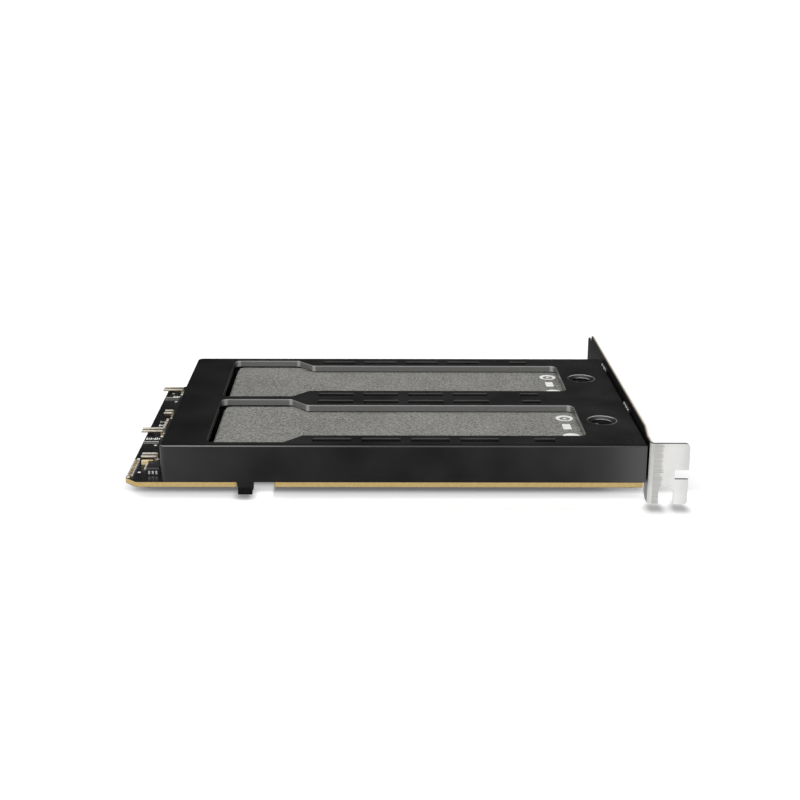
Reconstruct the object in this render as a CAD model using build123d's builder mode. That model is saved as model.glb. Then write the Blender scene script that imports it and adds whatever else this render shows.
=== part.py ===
# A full-height expansion card that carries two removable solid-state drive trays.
# The card lies flat, component side up. X points out through the slot bracket, Y points from the
# bracket's tab towards the edge connector, and Z points up from the board. The origin is the corner
# line of the bracket's outer face and tab, at the height of the board's component surface.
from build123d import *
import os

os.makedirs("parts", exist_ok=True)

# Board
board_length = 149.9
board_thickness = 1.57
board_end_gap = 2.2
board_setback = 1.5
free_strip = 10.6
back_strip = 11.7
board_corner = 3.5
board_back_corner = 14.7
board_notch_start = 32.75
board_notch_width = 10.6
board_notch_depth = 6.0
board_notch_radius = 0.4
board_notch_mouth_radius = 0.9

# Edge connector
tongue_depth = 8.25
tongue_bevel = 0.45
key_from_bracket = 58.2
key_slot_width = 1.9
short_contact_count = 11
long_contact_count = 38
contact_pitch = 1.0
contact_width = 0.7
contact_length = 4.3
contact_plating = 0.05
contact_side_margin = 0.325
contact_end_gap = 1.2

# Slot bracket
sheet = 0.86
bracket_length = 120.02
foot_length = 7.27
bracket_width = 18.42
bracket_top = 14.0
foot_width = 10.19
foot_top = 11.9
foot_corner = 1.5
tab_reach = 10.57
tab_top = 12.45
tab_width = 18.42
tab_corner = 1.4
tab_low_corner = 1.0
tab_notch_depth = 4.0
tab_notch_top = 4.4
tab_notch_height = 2.8
tab_slot_width = 4.42
tab_slot_height = 5.6
tab_slot_wall = 2.1
bend_radius = 0.3
neck_end = 6.5
shoulder_run = 4.5
relief_length = 4.5
relief_rise = 3.9
ear_width = 9.0
ear_length = 9.5
ear_offset = 12.0

# Fasteners
fastener_gap = 0.02
large_screw_radius = 1.48
large_head_radius = 2.7
large_head_height = 1.6
insert_radius = 2.1
insert_collar_radius = 2.8
insert_collar = 0.4
small_screw_radius = 1.05
small_head_radius = 1.9
small_head_height = 0.7
fine_screw_radius = 0.8
fine_head_radius = 1.5
fine_head_height = 0.7
recess_width = 0.5
recess_depth = 0.5
recess_share = 1.2

# Cover
cover_side = 3.025
cover_height = 11.12
cover_end_gap = 1.4
cover_plate = 0.8
cover_wall = 1.4
cover_edge_radius = 0.5
cover_front_radius = 1.6
cover_back_radius = 1.8
middle_rib = 1.4
bay_spacing = 2.75
guide_rail_height = 1.4
guide_rail_low = 1.6
guide_rail_high = 6.2
partition_wall = 1.2
partition_gap = 0.4
partition_opening = 26.0
stop_width = 3.0
stop_height = 3.5
stop_from_side = 3.6
boss_radius = 2.6
boss_from_left = 5.8
boss_from_side = 3.8
boss_depth = 7.0

# Windows and vents in the cover
window_left_margin = 13.1
window_right_margin = 16.2
window_wide_cover = 0.3
window_narrow_cover = 6.3
window_wide_length = 22.2
window_taper = 5.4
window_lip = 1.2
window_depth = 2.0
window_left_radius = 2.2
window_taper_radius = 0.8
window_right_radius = 2.0
window_edge_radius = 0.2
vent_from_side = 2.3
vent_bar = 3.03
vent_width = 3.2
vent_count = 4
vent_corner = 0.4
vent_start = 43.7
short_vent_length = 6.0
short_vent_from_end = 31.8
vent_break = 7.28
access_from_end = 9.45
access_rim_radius = 4.3
access_radius = 3.1
access_dish_angle = 112.0
access_collar_wall = 1.4
access_collar_depth = 1.2

# Legs that clip the cover to the board
clip_width = 4.1
clip_wall = 1.6
clip_reach = 2.3
clip_barb = 0.8
clip_gap = 0.15
clip_side_gap = 0.15
clip_root = 0.6
clip_slit = 1.8
snap_width = 2.6
snap_wall = 1.3
snap_from_end = 4.8
snap_reach = 0.6
mark_width = 1.5
mark_from_front = 4.4
snap_hole_gap = 0.3

# Trays
running_gap = 0.3
tray_width = 41.2
tray_end_gap = 1.0
tray_floor_height = 1.0
tray_floor = 0.8
tray_wall = 1.2
tray_top = 8.8
lid_thickness = 1.2
lid_inset = 0.8
lid_corner = 1.8
lid_rim = 0.8
lid_rim_drop = 0.6
lid_rim_gap = 0.1
tray_corner = 1.0
finger_opening_width = 23.0
finger_opening_height = 3.4
edge_finger_reach = 4.2
drive_lengths = (30.0, 42.0, 60.0, 80.0)
last_post_from_end = 5.5
fitted_drive_length = 80.0
post_radius = 2.2
post_height = 2.2
post_grip = 0.8
drive_board = 0.8
pad_length = 70.0
pad_width = 20.0
pad_thickness = 1.4
pad_from_end = 9.0

# Tray bezels, levers and lock screws
bezel_depth = 15.95
bezel_recess = 0.15
bezel_top = 9.6
bezel_edge = 0.4
bezel_bottom = 1.0
lever_short_of_tray = 12.2
lever_thickness = 2.8
lever_height = 3.6
lever_middle = 5.9
lever_pivot_from_side = 5.1
lever_pin_radius = 0.75
lever_pin_gap = 0.05
lever_pin_depth = 1.6
scoop_length = 5.2
scoop_extra_depth = 2.4
scoop_height = 4.4
grip_count = 4
grip_pitch = 1.6
grip_radius = 0.35
bezel_vent_count = 4
bezel_vent_length = 3.2
bezel_vent_height = 0.8
bezel_vent_pitch = 6.4
bezel_vent_rise = 0.5
lock_head_radius = 2.6
lock_head_height = 1.3
lock_head_drop = 0.3
lock_head_gap = 0.25
lock_screw_rise = 0.15
bezel_screw_from_side = 4.6
bezel_screw_level = 4.6
bezel_screw_length = 6.0

# Drive sockets on the board
socket_width = 21.9
socket_depth = 8.7
socket_height = 5.6
socket_from_left = 2.0
socket_slot_width = 20.2
socket_slot_height = 0.95
socket_slot_depth = 5.0
socket_key_width = 1.2
socket_key_offset = 6.0
socket_edge = 0.3

# Pin headers along the board's free end
pin_size = 0.64
pin_pitch = 2.54
pin_level = 1.7
header_places = (86.6, 60.9, 42.8, 19.3)
header_bends = (5.25, 5.0, 5.6, 3.85)
header_reaches = (6.45, 2.55, 6.4, 4.35)
pin_hole_radius = 0.48
pin_stub = 1.0
pin_bend = 0.5
carrier_length = 1.6
carrier_width = 5.0
carrier_from_bend = 0.7

# Small electronic parts
strip_chip_length = 3.4
strip_chip_width = 5.2
strip_chip_height = 0.9
strip_chip_y = 14.0
strip_chip_gap = 2.2
chip_lead_count = 8
chip_lead_pitch = 0.65
chip_lead_width = 0.3
chip_lead_length = 0.8
chip_lead_height = 0.25
strip_block_length = 4.0
strip_block_width = 4.0
strip_block_height = 2.2
strip_block_inset = 0.6
strip_block_corner = 0.3
strip_block_front = 5.5
small_part_length = 1.6
small_part_width = 0.8
small_part_height = 0.6
strip_part_count = 7
strip_part_pitch = 2.0
strip_part_first = 4.9
strip_part_from_edge = 0.3
coupling_part_count = 16
coupling_part_pitch = 2.0
coupling_part_from_back = 3.0
inductor_size = 7.0
inductor_height = 3.0
inductor_corner = 0.8
regulator_size = 5.0
regulator_height = 0.9
bulk_part_length = 3.5
bulk_part_width = 2.8
bulk_part_height = 1.9
power_part_spacing = 11.0
power_part_start = 20.0

# Earthing springs behind the bracket
spring_strip = 0.25
spring_width = 8.0
spring_height = 1.2
spring_rise = 0.1
spring_from_side = 6.3

# Places worked out from the sizes above
board_right = -board_end_gap
board_left = board_right - board_length
board_front = board_setback
board_bottom = -board_thickness
key_x = -key_from_bracket
cover_right = -cover_end_gap
cover_left = board_left + free_strip
cover_front = board_front
bay_pitch = tray_width + bay_spacing
cover_back = cover_front + bay_pitch + tray_width + 2 * cover_side
cover_middle = (cover_front + cover_back) / 2
board_back = cover_back + back_strip
connector_end = board_back + tongue_depth
plate_underside = cover_height - cover_plate
lip_bottom = cover_height - window_depth
bays = {"front": cover_middle - bay_pitch / 2, "back": cover_middle + bay_pitch / 2}
bay_half = tray_width / 2 + running_gap
window_left = cover_left + window_left_margin
window_right = cover_right - window_right_margin
window_wide = tray_width - 2 * window_wide_cover
window_narrow = tray_width - 2 * window_narrow_cover
tray_left = window_left + tray_end_gap
tray_right = -bezel_recess - bezel_depth
tray_stop = tray_left - running_gap
partition_x = window_left - partition_gap
bezel_face = -bezel_recess
access_x = cover_right - access_from_end
snap_x = cover_right - snap_from_end
snap_rows = (
    cover_front + cover_wall + snap_wall / 2,
    cover_middle,
    cover_back - cover_wall - snap_wall / 2,
)
ear_top = board_bottom
ear_bottom = ear_top - sheet
ear_screw_x = board_right - (ear_length - sheet) / 2
bracket_shoulder = bracket_length - foot_length
bracket_bottom = bracket_top - bracket_width
tab_bottom = tab_top - tab_width
opening_bottom = bezel_bottom - running_gap
opening_top = bezel_top + running_gap
ear_places = (bays["front"] - ear_offset, bays["back"] + ear_offset)
boss_x = cover_left + boss_from_left
boss_rows = (cover_front + boss_from_side, cover_middle, cover_back - boss_from_side)
tray_floor_top = tray_floor_height + tray_floor
post_top = tray_floor_top + post_height
socket_slot_level = post_top + drive_board / 2
lid_underside = tray_top - lid_thickness
clip_back = board_front + board_notch_depth - clip_gap
edge_finger_x = tray_left - edge_finger_reach
post_rows = [edge_finger_x + length for length in drive_lengths] + [tray_right - last_post_from_end]
short_vent_left = cover_right - short_vent_from_end
vent_left = cover_left + vent_start
vent_pitch = (short_vent_left - vent_break - vent_left) / vent_count
vent_length = vent_pitch - vent_bar
vent_offset = tray_width / 2 - vent_from_side
stop_offset = tray_width / 2 - stop_from_side
spring_offset = tray_width / 2 - spring_from_side
bezel_screw_offset = tray_width / 2 - bezel_screw_from_side
lever_pivot_offset = tray_width / 2 - lever_pivot_from_side
lever_length = tray_width - lever_short_of_tray
short_tongue = short_contact_count * contact_pitch + 2 * contact_side_margin
long_tongue = long_contact_count * contact_pitch + 2 * contact_side_margin
lever_front = bezel_face - 0.05
lever_x = lever_front - lever_thickness / 2
lever_low = lever_middle - lever_height / 2
lever_high = lever_middle + lever_height / 2
clip_x = board_left + board_notch_start + clip_side_gap + clip_width / 2
clip_bottom = board_bottom - clip_reach
snap_bottom = board_bottom - snap_reach
mark_rows = (cover_front + mark_from_front, cover_middle)
bezel_vent_level = tray_floor_top + bezel_vent_rise
lock_head_top = bezel_top - lock_head_drop
lock_head_face = lock_head_top - lock_head_height
lock_screw_tip = bezel_bottom + lock_screw_rise


def rectangle(x_low, x_high, y_low, y_high, mode=Mode.ADD):
    """Draws a rectangle between two corners of the open sketch."""
    with Locations(((x_low + x_high) / 2, (y_low + y_high) / 2)):
        Rectangle(x_high - x_low, y_high - y_low, mode=mode)


def window_outline(y_middle):
    """Draws one window: wide at its far end, then tapered to its narrow run."""
    taper_start = window_left + window_wide_length
    taper_end = taper_start + window_taper
    wide = window_wide / 2
    narrow = window_narrow / 2
    with BuildSketch() as outline:
        with BuildLine():
            Polyline(
                (window_left, y_middle - wide),
                (taper_start, y_middle - wide),
                (taper_end, y_middle - narrow),
                (window_right, y_middle - narrow),
                (window_right, y_middle + narrow),
                (taper_end, y_middle + narrow),
                (taper_start, y_middle + wide),
                (window_left, y_middle + wide),
                close=True,
            )
        make_face()
        columns = outline.vertices().group_by(Axis.X)
        fillet(columns[1] + columns[2], window_taper_radius)
        fillet(outline.vertices().group_by(Axis.X)[0], window_left_radius)
        fillet(outline.vertices().group_by(Axis.X)[-1], window_right_radius)
    return outline.sketch


def screw(plane, length, radius, head_radius, head_height):
    """Makes a pan-head screw with a crossed recess, its head's bearing face on the plane.

    The shank runs from the plane along its normal.
    """
    with BuildPart() as fastener:
        with BuildSketch(plane):
            Circle(radius)
        extrude(amount=length)
        with BuildSketch(plane):
            Circle(head_radius)
        extrude(amount=-head_height)
        with BuildSketch(plane.offset(-head_height)):
            Rectangle(head_radius * recess_share, recess_width)
            Rectangle(recess_width, head_radius * recess_share)
        extrude(amount=recess_depth, mode=Mode.SUBTRACT)
    return fastener.part


def pointing(x, y, z, direction):
    """Gives the plane at a point whose normal is the given direction."""
    return Plane(origin=(x, y, z), z_dir=direction)


# Board: outline with its chamfered corner, edge connector tongue, notch and holes
with BuildPart() as board:
    with BuildSketch(Plane.XY.offset(board_bottom)) as board_outline:
        rectangle(board_left, board_right, board_front, board_back)
        chamfer(board_outline.vertices().group_by(Axis.X)[0].sort_by(Axis.Y)[0], board_corner)
        chamfer(board_outline.vertices().group_by(Axis.X)[0].sort_by(Axis.Y)[-1], board_back_corner)
        rectangle(key_x + key_slot_width / 2, key_x + key_slot_width / 2 + short_tongue,
                  board_back - board_thickness, connector_end)
        rectangle(key_x - key_slot_width / 2 - long_tongue, key_x - key_slot_width / 2,
                  board_back - board_thickness, connector_end)
        with Locations((key_x, board_back)):
            Circle(key_slot_width / 2, mode=Mode.SUBTRACT)
        notch_left = board_left + board_notch_start
        rectangle(notch_left, notch_left + board_notch_width,
                  board_front - board_notch_depth, board_front + board_notch_depth,
                  mode=Mode.SUBTRACT)
        fillet(board_outline.vertices().group_by(Axis.Y)[2], board_notch_radius)
        mouth = board_outline.vertices().group_by(Axis.Y)[0].sort_by(Axis.X)[1:3]
        fillet(mouth, board_notch_mouth_radius)
    extrude(amount=board_thickness)
    chamfer(board.edges().filter_by(Axis.X).group_by(Axis.Y)[-1], tongue_bevel)
    with BuildSketch(Plane.XY.offset(board_bottom)):
        for ear_y in ear_places:
            with Locations((ear_screw_x, ear_y)):
                Circle(insert_radius)
        for bay_y in bays.values():
            with Locations((access_x, bay_y)):
                Circle(insert_radius)
        for boss_y in boss_rows:
            with Locations((boss_x, boss_y)):
                Circle(small_screw_radius + snap_hole_gap / 2)
        for snap_y in snap_rows:
            with Locations((snap_x, snap_y)):
                Rectangle(snap_width + snap_hole_gap * 2, snap_wall + snap_hole_gap * 2)
        for header_y, bend in zip(header_places, header_bends):
            with Locations((cover_left - bend, header_y)):
                with GridLocations(1, pin_pitch, 1, 2):
                    Circle(pin_hole_radius)
    extrude(amount=board_thickness, mode=Mode.SUBTRACT)
board.part.label = "board"
export_step(board.part, "parts/board.step")

# Edge connector contacts, plated on both faces of the tongue
with BuildPart() as edge_contacts:
    contact_y = connector_end - contact_end_gap - contact_length / 2
    contact_rows = (
        (key_x + (key_slot_width + short_tongue) / 2, short_contact_count),
        (key_x - (key_slot_width + long_tongue) / 2, long_contact_count),
    )
    for face_z, way in ((0, 1), (board_bottom, -1)):
        with BuildSketch(Plane.XY.offset(face_z)):
            for row_x, count in contact_rows:
                with Locations((row_x, contact_y)):
                    with GridLocations(contact_pitch, 1, count, 1):
                        Rectangle(contact_width, contact_length)
        extrude(amount=way * contact_plating)
edge_contacts.part.label = "edge_contacts"
export_step(edge_contacts.part, "parts/edge_contacts.step")

# Slot bracket: one folded sheet with the tab, the foot, two tray openings and two ears
with BuildPart() as bracket:
    with BuildSketch(Plane.YZ.offset(-sheet)) as bracket_outline:
        with BuildLine():
            Polyline(
                (0, tab_bottom),
                (neck_end - relief_rise / 2, tab_bottom),
                (neck_end, bracket_bottom),
                (neck_end, bracket_bottom + relief_rise),
                (neck_end + relief_length, bracket_bottom + relief_rise),
                (neck_end + relief_length, bracket_bottom),
                (bracket_shoulder, bracket_bottom),
                (bracket_shoulder, foot_top - foot_width),
                (bracket_length, foot_top - foot_width),
                (bracket_length, foot_top),
                (bracket_shoulder, foot_top),
                (bracket_shoulder, bracket_top),
                (neck_end + shoulder_run, bracket_top),
                (neck_end, tab_top),
                (0, tab_top),
                close=True,
            )
        make_face()
        foot_corners = bracket_outline.vertices().group_by(Axis.X)[-1]
        fillet(foot_corners, foot_corner)
        for bay_y in bays.values():
            rectangle(bay_y - bay_half, bay_y + bay_half, opening_bottom, opening_top,
                      mode=Mode.SUBTRACT)
    extrude(amount=sheet)
    with BuildSketch(Plane.XZ) as tab_outline:
        rectangle(-sheet, tab_reach, tab_bottom, tab_top)
        fillet(tab_outline.vertices().group_by(Axis.X)[-1].sort_by(Axis.Y)[-1], tab_corner)
        fillet(tab_outline.vertices().group_by(Axis.X)[-1].sort_by(Axis.Y)[0], tab_low_corner)
        rectangle(tab_reach - tab_notch_depth, tab_reach + tab_notch_depth,
                  tab_notch_top - tab_notch_height, tab_notch_top, mode=Mode.SUBTRACT)
        slot_middle = tab_slot_wall + tab_slot_width / 2
        slot_centre = tab_bottom + tab_slot_height - tab_slot_width / 2
        with Locations((slot_middle, slot_centre)):
            Circle(tab_slot_width / 2, mode=Mode.SUBTRACT)
        rectangle(tab_slot_wall, tab_slot_wall + tab_slot_width,
                  tab_bottom - tab_low_corner, slot_centre, mode=Mode.SUBTRACT)
    extrude(amount=-sheet)
    outer_bend = bracket.edges().filter_by(Axis.Z).group_by(Axis.Y)[0].sort_by(Axis.X)[0]
    fillet(outer_bend, bend_radius + sheet)
    for ear_y in ear_places:
        with BuildSketch(Plane.XY.offset(ear_bottom)) as ear_outline:
            rectangle(-sheet - ear_length, -sheet / 2, ear_y - ear_width / 2, ear_y + ear_width / 2)
            fillet(ear_outline.vertices().group_by(Axis.X)[0], foot_corner)
            with Locations((ear_screw_x, ear_y)):
                Circle(large_screw_radius + snap_hole_gap / 2, mode=Mode.SUBTRACT)
        extrude(amount=sheet)
bracket.part.label = "bracket"
export_step(bracket.part, "parts/bracket.step")

# Threaded inserts pressed into the board, for the bracket's ears and the tray locks
with BuildPart() as board_inserts:
    insert_places = [(ear_screw_x, ear_y) for ear_y in ear_places]
    insert_places += [(access_x, bay_y) for bay_y in bays.values()]
    with BuildSketch(Plane.XY.offset(board_bottom)):
        with Locations(*insert_places):
            Circle(insert_radius - fastener_gap)
            Circle(large_screw_radius + fastener_gap, mode=Mode.SUBTRACT)
    extrude(amount=board_thickness)
    with BuildSketch():
        with Locations(*insert_places):
            Circle(insert_collar_radius)
            Circle(large_screw_radius + fastener_gap, mode=Mode.SUBTRACT)
    extrude(amount=insert_collar)
board_inserts.part.label = "board_inserts"
export_step(board_inserts.part, "parts/board_inserts.step")

# Screws that hold the bracket's ears to the board
with BuildPart() as bracket_screws:
    for ear_y in ear_places:
        add(screw(pointing(ear_screw_x, ear_y, ear_bottom, (0, 0, 1)),
              sheet + board_thickness + insert_collar / 2,
              large_screw_radius, large_head_radius, large_head_height))
bracket_screws.part.label = "bracket_screws"
export_step(bracket_screws.part, "parts/bracket_screws.step")

# Cover: one moulded shell over both tray bays, with windows, vents, guide rails, bosses and clips
with BuildPart() as cover:
    with BuildSketch() as cover_outline:
        rectangle(cover_left, cover_right, cover_front, cover_back)
        fillet(cover_outline.vertices().group_by(Axis.X)[0].sort_by(Axis.Y)[0], cover_front_radius)
        fillet(cover_outline.vertices().group_by(Axis.X)[0].sort_by(Axis.Y)[-1], cover_back_radius)
    extrude(amount=cover_height)
    top_edges = cover.faces().sort_by(Axis.Z)[-1].edges().sort_by(Axis.X)[:-1]
    fillet(top_edges, cover_edge_radius)
    with BuildSketch():
        rectangle(cover_left + cover_wall, cover_right + cover_wall,
                  cover_front + cover_wall, cover_back - cover_wall)
    extrude(amount=plate_underside, mode=Mode.SUBTRACT)
    with BuildSketch():
        rectangle(partition_x, cover_right,
                  cover_middle - middle_rib / 2, cover_middle + middle_rib / 2)
        rectangle(partition_x - partition_wall, partition_x,
                  cover_front + cover_wall, cover_back - cover_wall)
        for bay_y in bays.values():
            rectangle(partition_x - partition_wall, partition_x,
                      bay_y - partition_opening / 2, bay_y + partition_opening / 2,
                      mode=Mode.SUBTRACT)
        with Locations(*[(boss_x, boss_y) for boss_y in boss_rows]):
            Circle(boss_radius)
    extrude(amount=plate_underside)
    with BuildSketch(Plane.YZ.offset(partition_x)):
        for rail_low in (guide_rail_low, guide_rail_high):
            rail_high = rail_low + guide_rail_height
            rectangle(cover_front + cover_wall, bays["front"] - bay_half, rail_low, rail_high)
            rectangle(bays["front"] + bay_half, bays["back"] - bay_half, rail_low, rail_high)
            rectangle(bays["back"] + bay_half, cover_back - cover_wall, rail_low, rail_high)
    extrude(amount=cover_right - partition_x)
    with BuildSketch(Plane.XY.offset(guide_rail_low)):
        for bay_y in bays.values():
            for side_y in (bay_y - stop_offset, bay_y + stop_offset):
                rectangle(partition_x, tray_stop, side_y - stop_width / 2, side_y + stop_width / 2)
    extrude(amount=stop_height)
    with BuildSketch(Plane.XY.offset(lip_bottom)):
        for bay_y in bays.values():
            add(window_outline(bay_y))
        offset(amount=window_lip)
    extrude(amount=plate_underside - lip_bottom)
    with BuildSketch(Plane.XY.offset(lip_bottom)):
        for bay_y in bays.values():
            add(window_outline(bay_y))
    extrude(amount=window_depth, mode=Mode.SUBTRACT)
    window_rims = cover.faces().sort_by(Axis.Z)[-1].inner_wires().edges()
    fillet(window_rims, window_edge_radius)
    with BuildSketch(Plane.XY.offset(plate_underside)):
        for bay_y in bays.values():
            for row_y in (bay_y - vent_offset, bay_y + vent_offset):
                for index in range(vent_count):
                    vent_x = vent_left + vent_length / 2 + index * vent_pitch
                    with Locations((vent_x, row_y)):
                        RectangleRounded(vent_length, vent_width, vent_corner)
                with Locations((short_vent_left + short_vent_length / 2, row_y)):
                    RectangleRounded(short_vent_length, vent_width, vent_corner)
        for mark_y in mark_rows:
            with Locations((snap_x, mark_y)):
                Rectangle(snap_width, mark_width)
    extrude(amount=cover_plate, mode=Mode.SUBTRACT)
    with BuildSketch(Plane.XY.offset(cover_height - access_collar_depth)):
        with Locations(*[(access_x, bay_y) for bay_y in bays.values()]):
            Circle(access_radius + access_collar_wall)
    extrude(amount=access_collar_depth - cover_plate / 2)
    with Locations(*[(access_x, bay_y, cover_height) for bay_y in bays.values()]):
        CounterSinkHole(access_radius, access_rim_radius, depth=access_collar_depth,
                        counter_sink_angle=access_dish_angle)
    with BuildSketch():
        with Locations(*[(boss_x, boss_y) for boss_y in boss_rows]):
            Circle(small_screw_radius + fastener_gap)
    extrude(amount=boss_depth, mode=Mode.SUBTRACT)
    for snap_y in snap_rows:
        with BuildSketch(Plane.XZ.offset(-(snap_y - snap_wall / 2))):
            with BuildLine():
                Polyline(
                    (snap_x - snap_width / 2, guide_rail_low),
                    (snap_x - snap_width / 2, snap_bottom),
                    (snap_x + snap_width / 2, snap_bottom),
                    (snap_x + snap_width / 2 + clip_barb, board_bottom - clip_gap),
                    (snap_x + snap_width / 2, board_bottom - clip_gap),
                    (snap_x + snap_width / 2, guide_rail_low),
                    close=True,
                )
            make_face()
        extrude(amount=-snap_wall)
    with BuildSketch(Plane.YZ.offset(clip_x - clip_width / 2)):
        with BuildLine():
            Polyline(
                (cover_front + clip_gap, 0),
                (cover_front + clip_gap, clip_bottom),
                (clip_back, clip_bottom),
                (clip_back + clip_barb, board_bottom - clip_gap),
                (clip_back, board_bottom - clip_gap),
                (clip_back, clip_root),
                (cover_front + cover_wall, clip_root),
                (cover_front + cover_wall, 0),
                close=True,
            )
        make_face()
        rectangle(cover_front + clip_gap + clip_wall, cover_front + clip_gap + clip_wall + clip_slit,
                  clip_bottom, board_bottom + clip_root, mode=Mode.SUBTRACT)
    extrude(amount=clip_width)
cover.part.label = "cover"
export_step(cover.part, "parts/cover.step")

# Screws that hold the cover's closed end to the board
with BuildPart() as cover_screws:
    for boss_y in boss_rows:
        add(screw(pointing(boss_x, boss_y, board_bottom, (0, 0, 1)), board_thickness + boss_depth / 2,
              small_screw_radius, small_head_radius, small_head_height))
cover_screws.part.label = "cover_screws"
export_step(cover_screws.part, "parts/cover_screws.step")

for side, bay_y in bays.items():
    tray_low_y = bay_y - tray_width / 2
    tray_high_y = bay_y + tray_width / 2
    post_places = [(post_x, bay_y) for post_x in post_rows]

    # Drive socket: the board's card-edge connector at the closed end of the bay
    with BuildPart() as drive_socket:
        socket_left = cover_left + socket_from_left
        socket_right = socket_left + socket_depth
        with BuildSketch():
            rectangle(socket_left, socket_right, bay_y - socket_width / 2, bay_y + socket_width / 2)
        extrude(amount=socket_height)
        chamfer(drive_socket.faces().sort_by(Axis.Z)[-1].edges(), socket_edge)
        with BuildSketch(Plane.YZ.offset(socket_right)):
            rectangle(bay_y - socket_slot_width / 2, bay_y + socket_slot_width / 2,
                      socket_slot_level - socket_slot_height / 2,
                      socket_slot_level + socket_slot_height / 2)
            rectangle(bay_y + socket_key_offset, bay_y + socket_key_offset + socket_key_width,
                      socket_slot_level - socket_slot_height, socket_slot_level + socket_slot_height,
                      mode=Mode.SUBTRACT)
        extrude(amount=-socket_slot_depth, mode=Mode.SUBTRACT)
    drive_socket.part.label = f"drive_socket_{side}"
    export_step(drive_socket.part, f"parts/drive_socket_{side}.step")

    # Tray base: a shallow trough with drive posts and an opening for the drive's edge contacts
    with BuildPart() as tray_base:
        with BuildSketch(Plane.XY.offset(tray_floor_height)) as tray_outline:
            rectangle(tray_left, tray_right, tray_low_y, tray_high_y)
            fillet(tray_outline.vertices().group_by(Axis.X)[0], tray_corner)
        extrude(amount=lid_underside - tray_floor_height)
        with BuildSketch(Plane.XY.offset(tray_floor_top)):
            rectangle(tray_left + tray_wall, tray_right - tray_wall,
                      tray_low_y + tray_wall, tray_high_y - tray_wall)
        extrude(amount=lid_underside - tray_floor_top, mode=Mode.SUBTRACT)
        with BuildSketch(Plane.XY.offset(tray_floor_top)):
            with Locations(*post_places):
                Circle(post_radius)
        extrude(amount=post_height)
        with BuildSketch(Plane.XY.offset(post_top)):
            with Locations(*post_places):
                Circle(fine_screw_radius + fastener_gap)
        extrude(amount=-post_height, mode=Mode.SUBTRACT)
        with BuildSketch(Plane.YZ.offset(tray_left)):
            rectangle(bay_y - finger_opening_width / 2, bay_y + finger_opening_width / 2,
                      socket_slot_level - finger_opening_height / 2,
                      socket_slot_level + finger_opening_height / 2)
        extrude(amount=tray_wall, mode=Mode.SUBTRACT)
        with BuildSketch(Plane.YZ.offset(tray_right - tray_wall)):
            with Locations((bay_y, bezel_vent_level)):
                with GridLocations(bezel_vent_pitch, 1, bezel_vent_count, 1):
                    Rectangle(bezel_vent_length, bezel_vent_height)
            with Locations((bay_y, bezel_screw_level)):
                with GridLocations(bezel_screw_offset * 2, 1, 2, 1):
                    Circle(fine_screw_radius + fastener_gap)
        extrude(amount=tray_wall, mode=Mode.SUBTRACT)
    tray_base.part.label = f"tray_base_{side}"
    export_step(tray_base.part, f"parts/tray_base_{side}.step")

    # Tray lid: the heat spreader seen through the window, with a rim that drops inside the trough
    with BuildPart() as tray_lid:
        with BuildSketch(Plane.XY.offset(lid_underside)) as lid_outline:
            rectangle(tray_left + lid_inset, tray_right, tray_low_y + lid_inset, tray_high_y - lid_inset)
            fillet(lid_outline.vertices().group_by(Axis.X)[0], lid_corner)
        extrude(amount=lid_thickness)
        rim_edge = tray_wall + lid_rim_gap
        with BuildSketch(Plane.XY.offset(lid_underside)):
            rectangle(tray_left + rim_edge, tray_right - rim_edge,
                      tray_low_y + rim_edge, tray_high_y - rim_edge)
            rectangle(tray_left + rim_edge + lid_rim, tray_right - rim_edge - lid_rim,
                      tray_low_y + rim_edge + lid_rim, tray_high_y - rim_edge - lid_rim,
                      mode=Mode.SUBTRACT)
        extrude(amount=-lid_rim_drop)
    tray_lid.part.label = f"tray_lid_{side}"
    export_step(tray_lid.part, f"parts/tray_lid_{side}.step")

    # Thermal pad stuck under the lid, over the drive
    with BuildPart() as thermal_pad:
        with BuildSketch(Plane.XY.offset(lid_underside)):
            rectangle(tray_left + pad_from_end, tray_left + pad_from_end + pad_length,
                      bay_y - pad_width / 2, bay_y + pad_width / 2)
        extrude(amount=-pad_thickness)
    thermal_pad.part.label = f"thermal_pad_{side}"
    export_step(thermal_pad.part, f"parts/thermal_pad_{side}.step")

    # Screw that holds the drive on its post
    with BuildPart() as drive_screw:
        add(screw(pointing(edge_finger_x + fitted_drive_length, bay_y, post_top, (0, 0, -1)),
              post_height * post_grip, fine_screw_radius, fine_head_radius, fine_head_height))
    drive_screw.part.label = f"drive_screw_{side}"
    export_step(drive_screw.part, f"parts/drive_screw_{side}.step")

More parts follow.
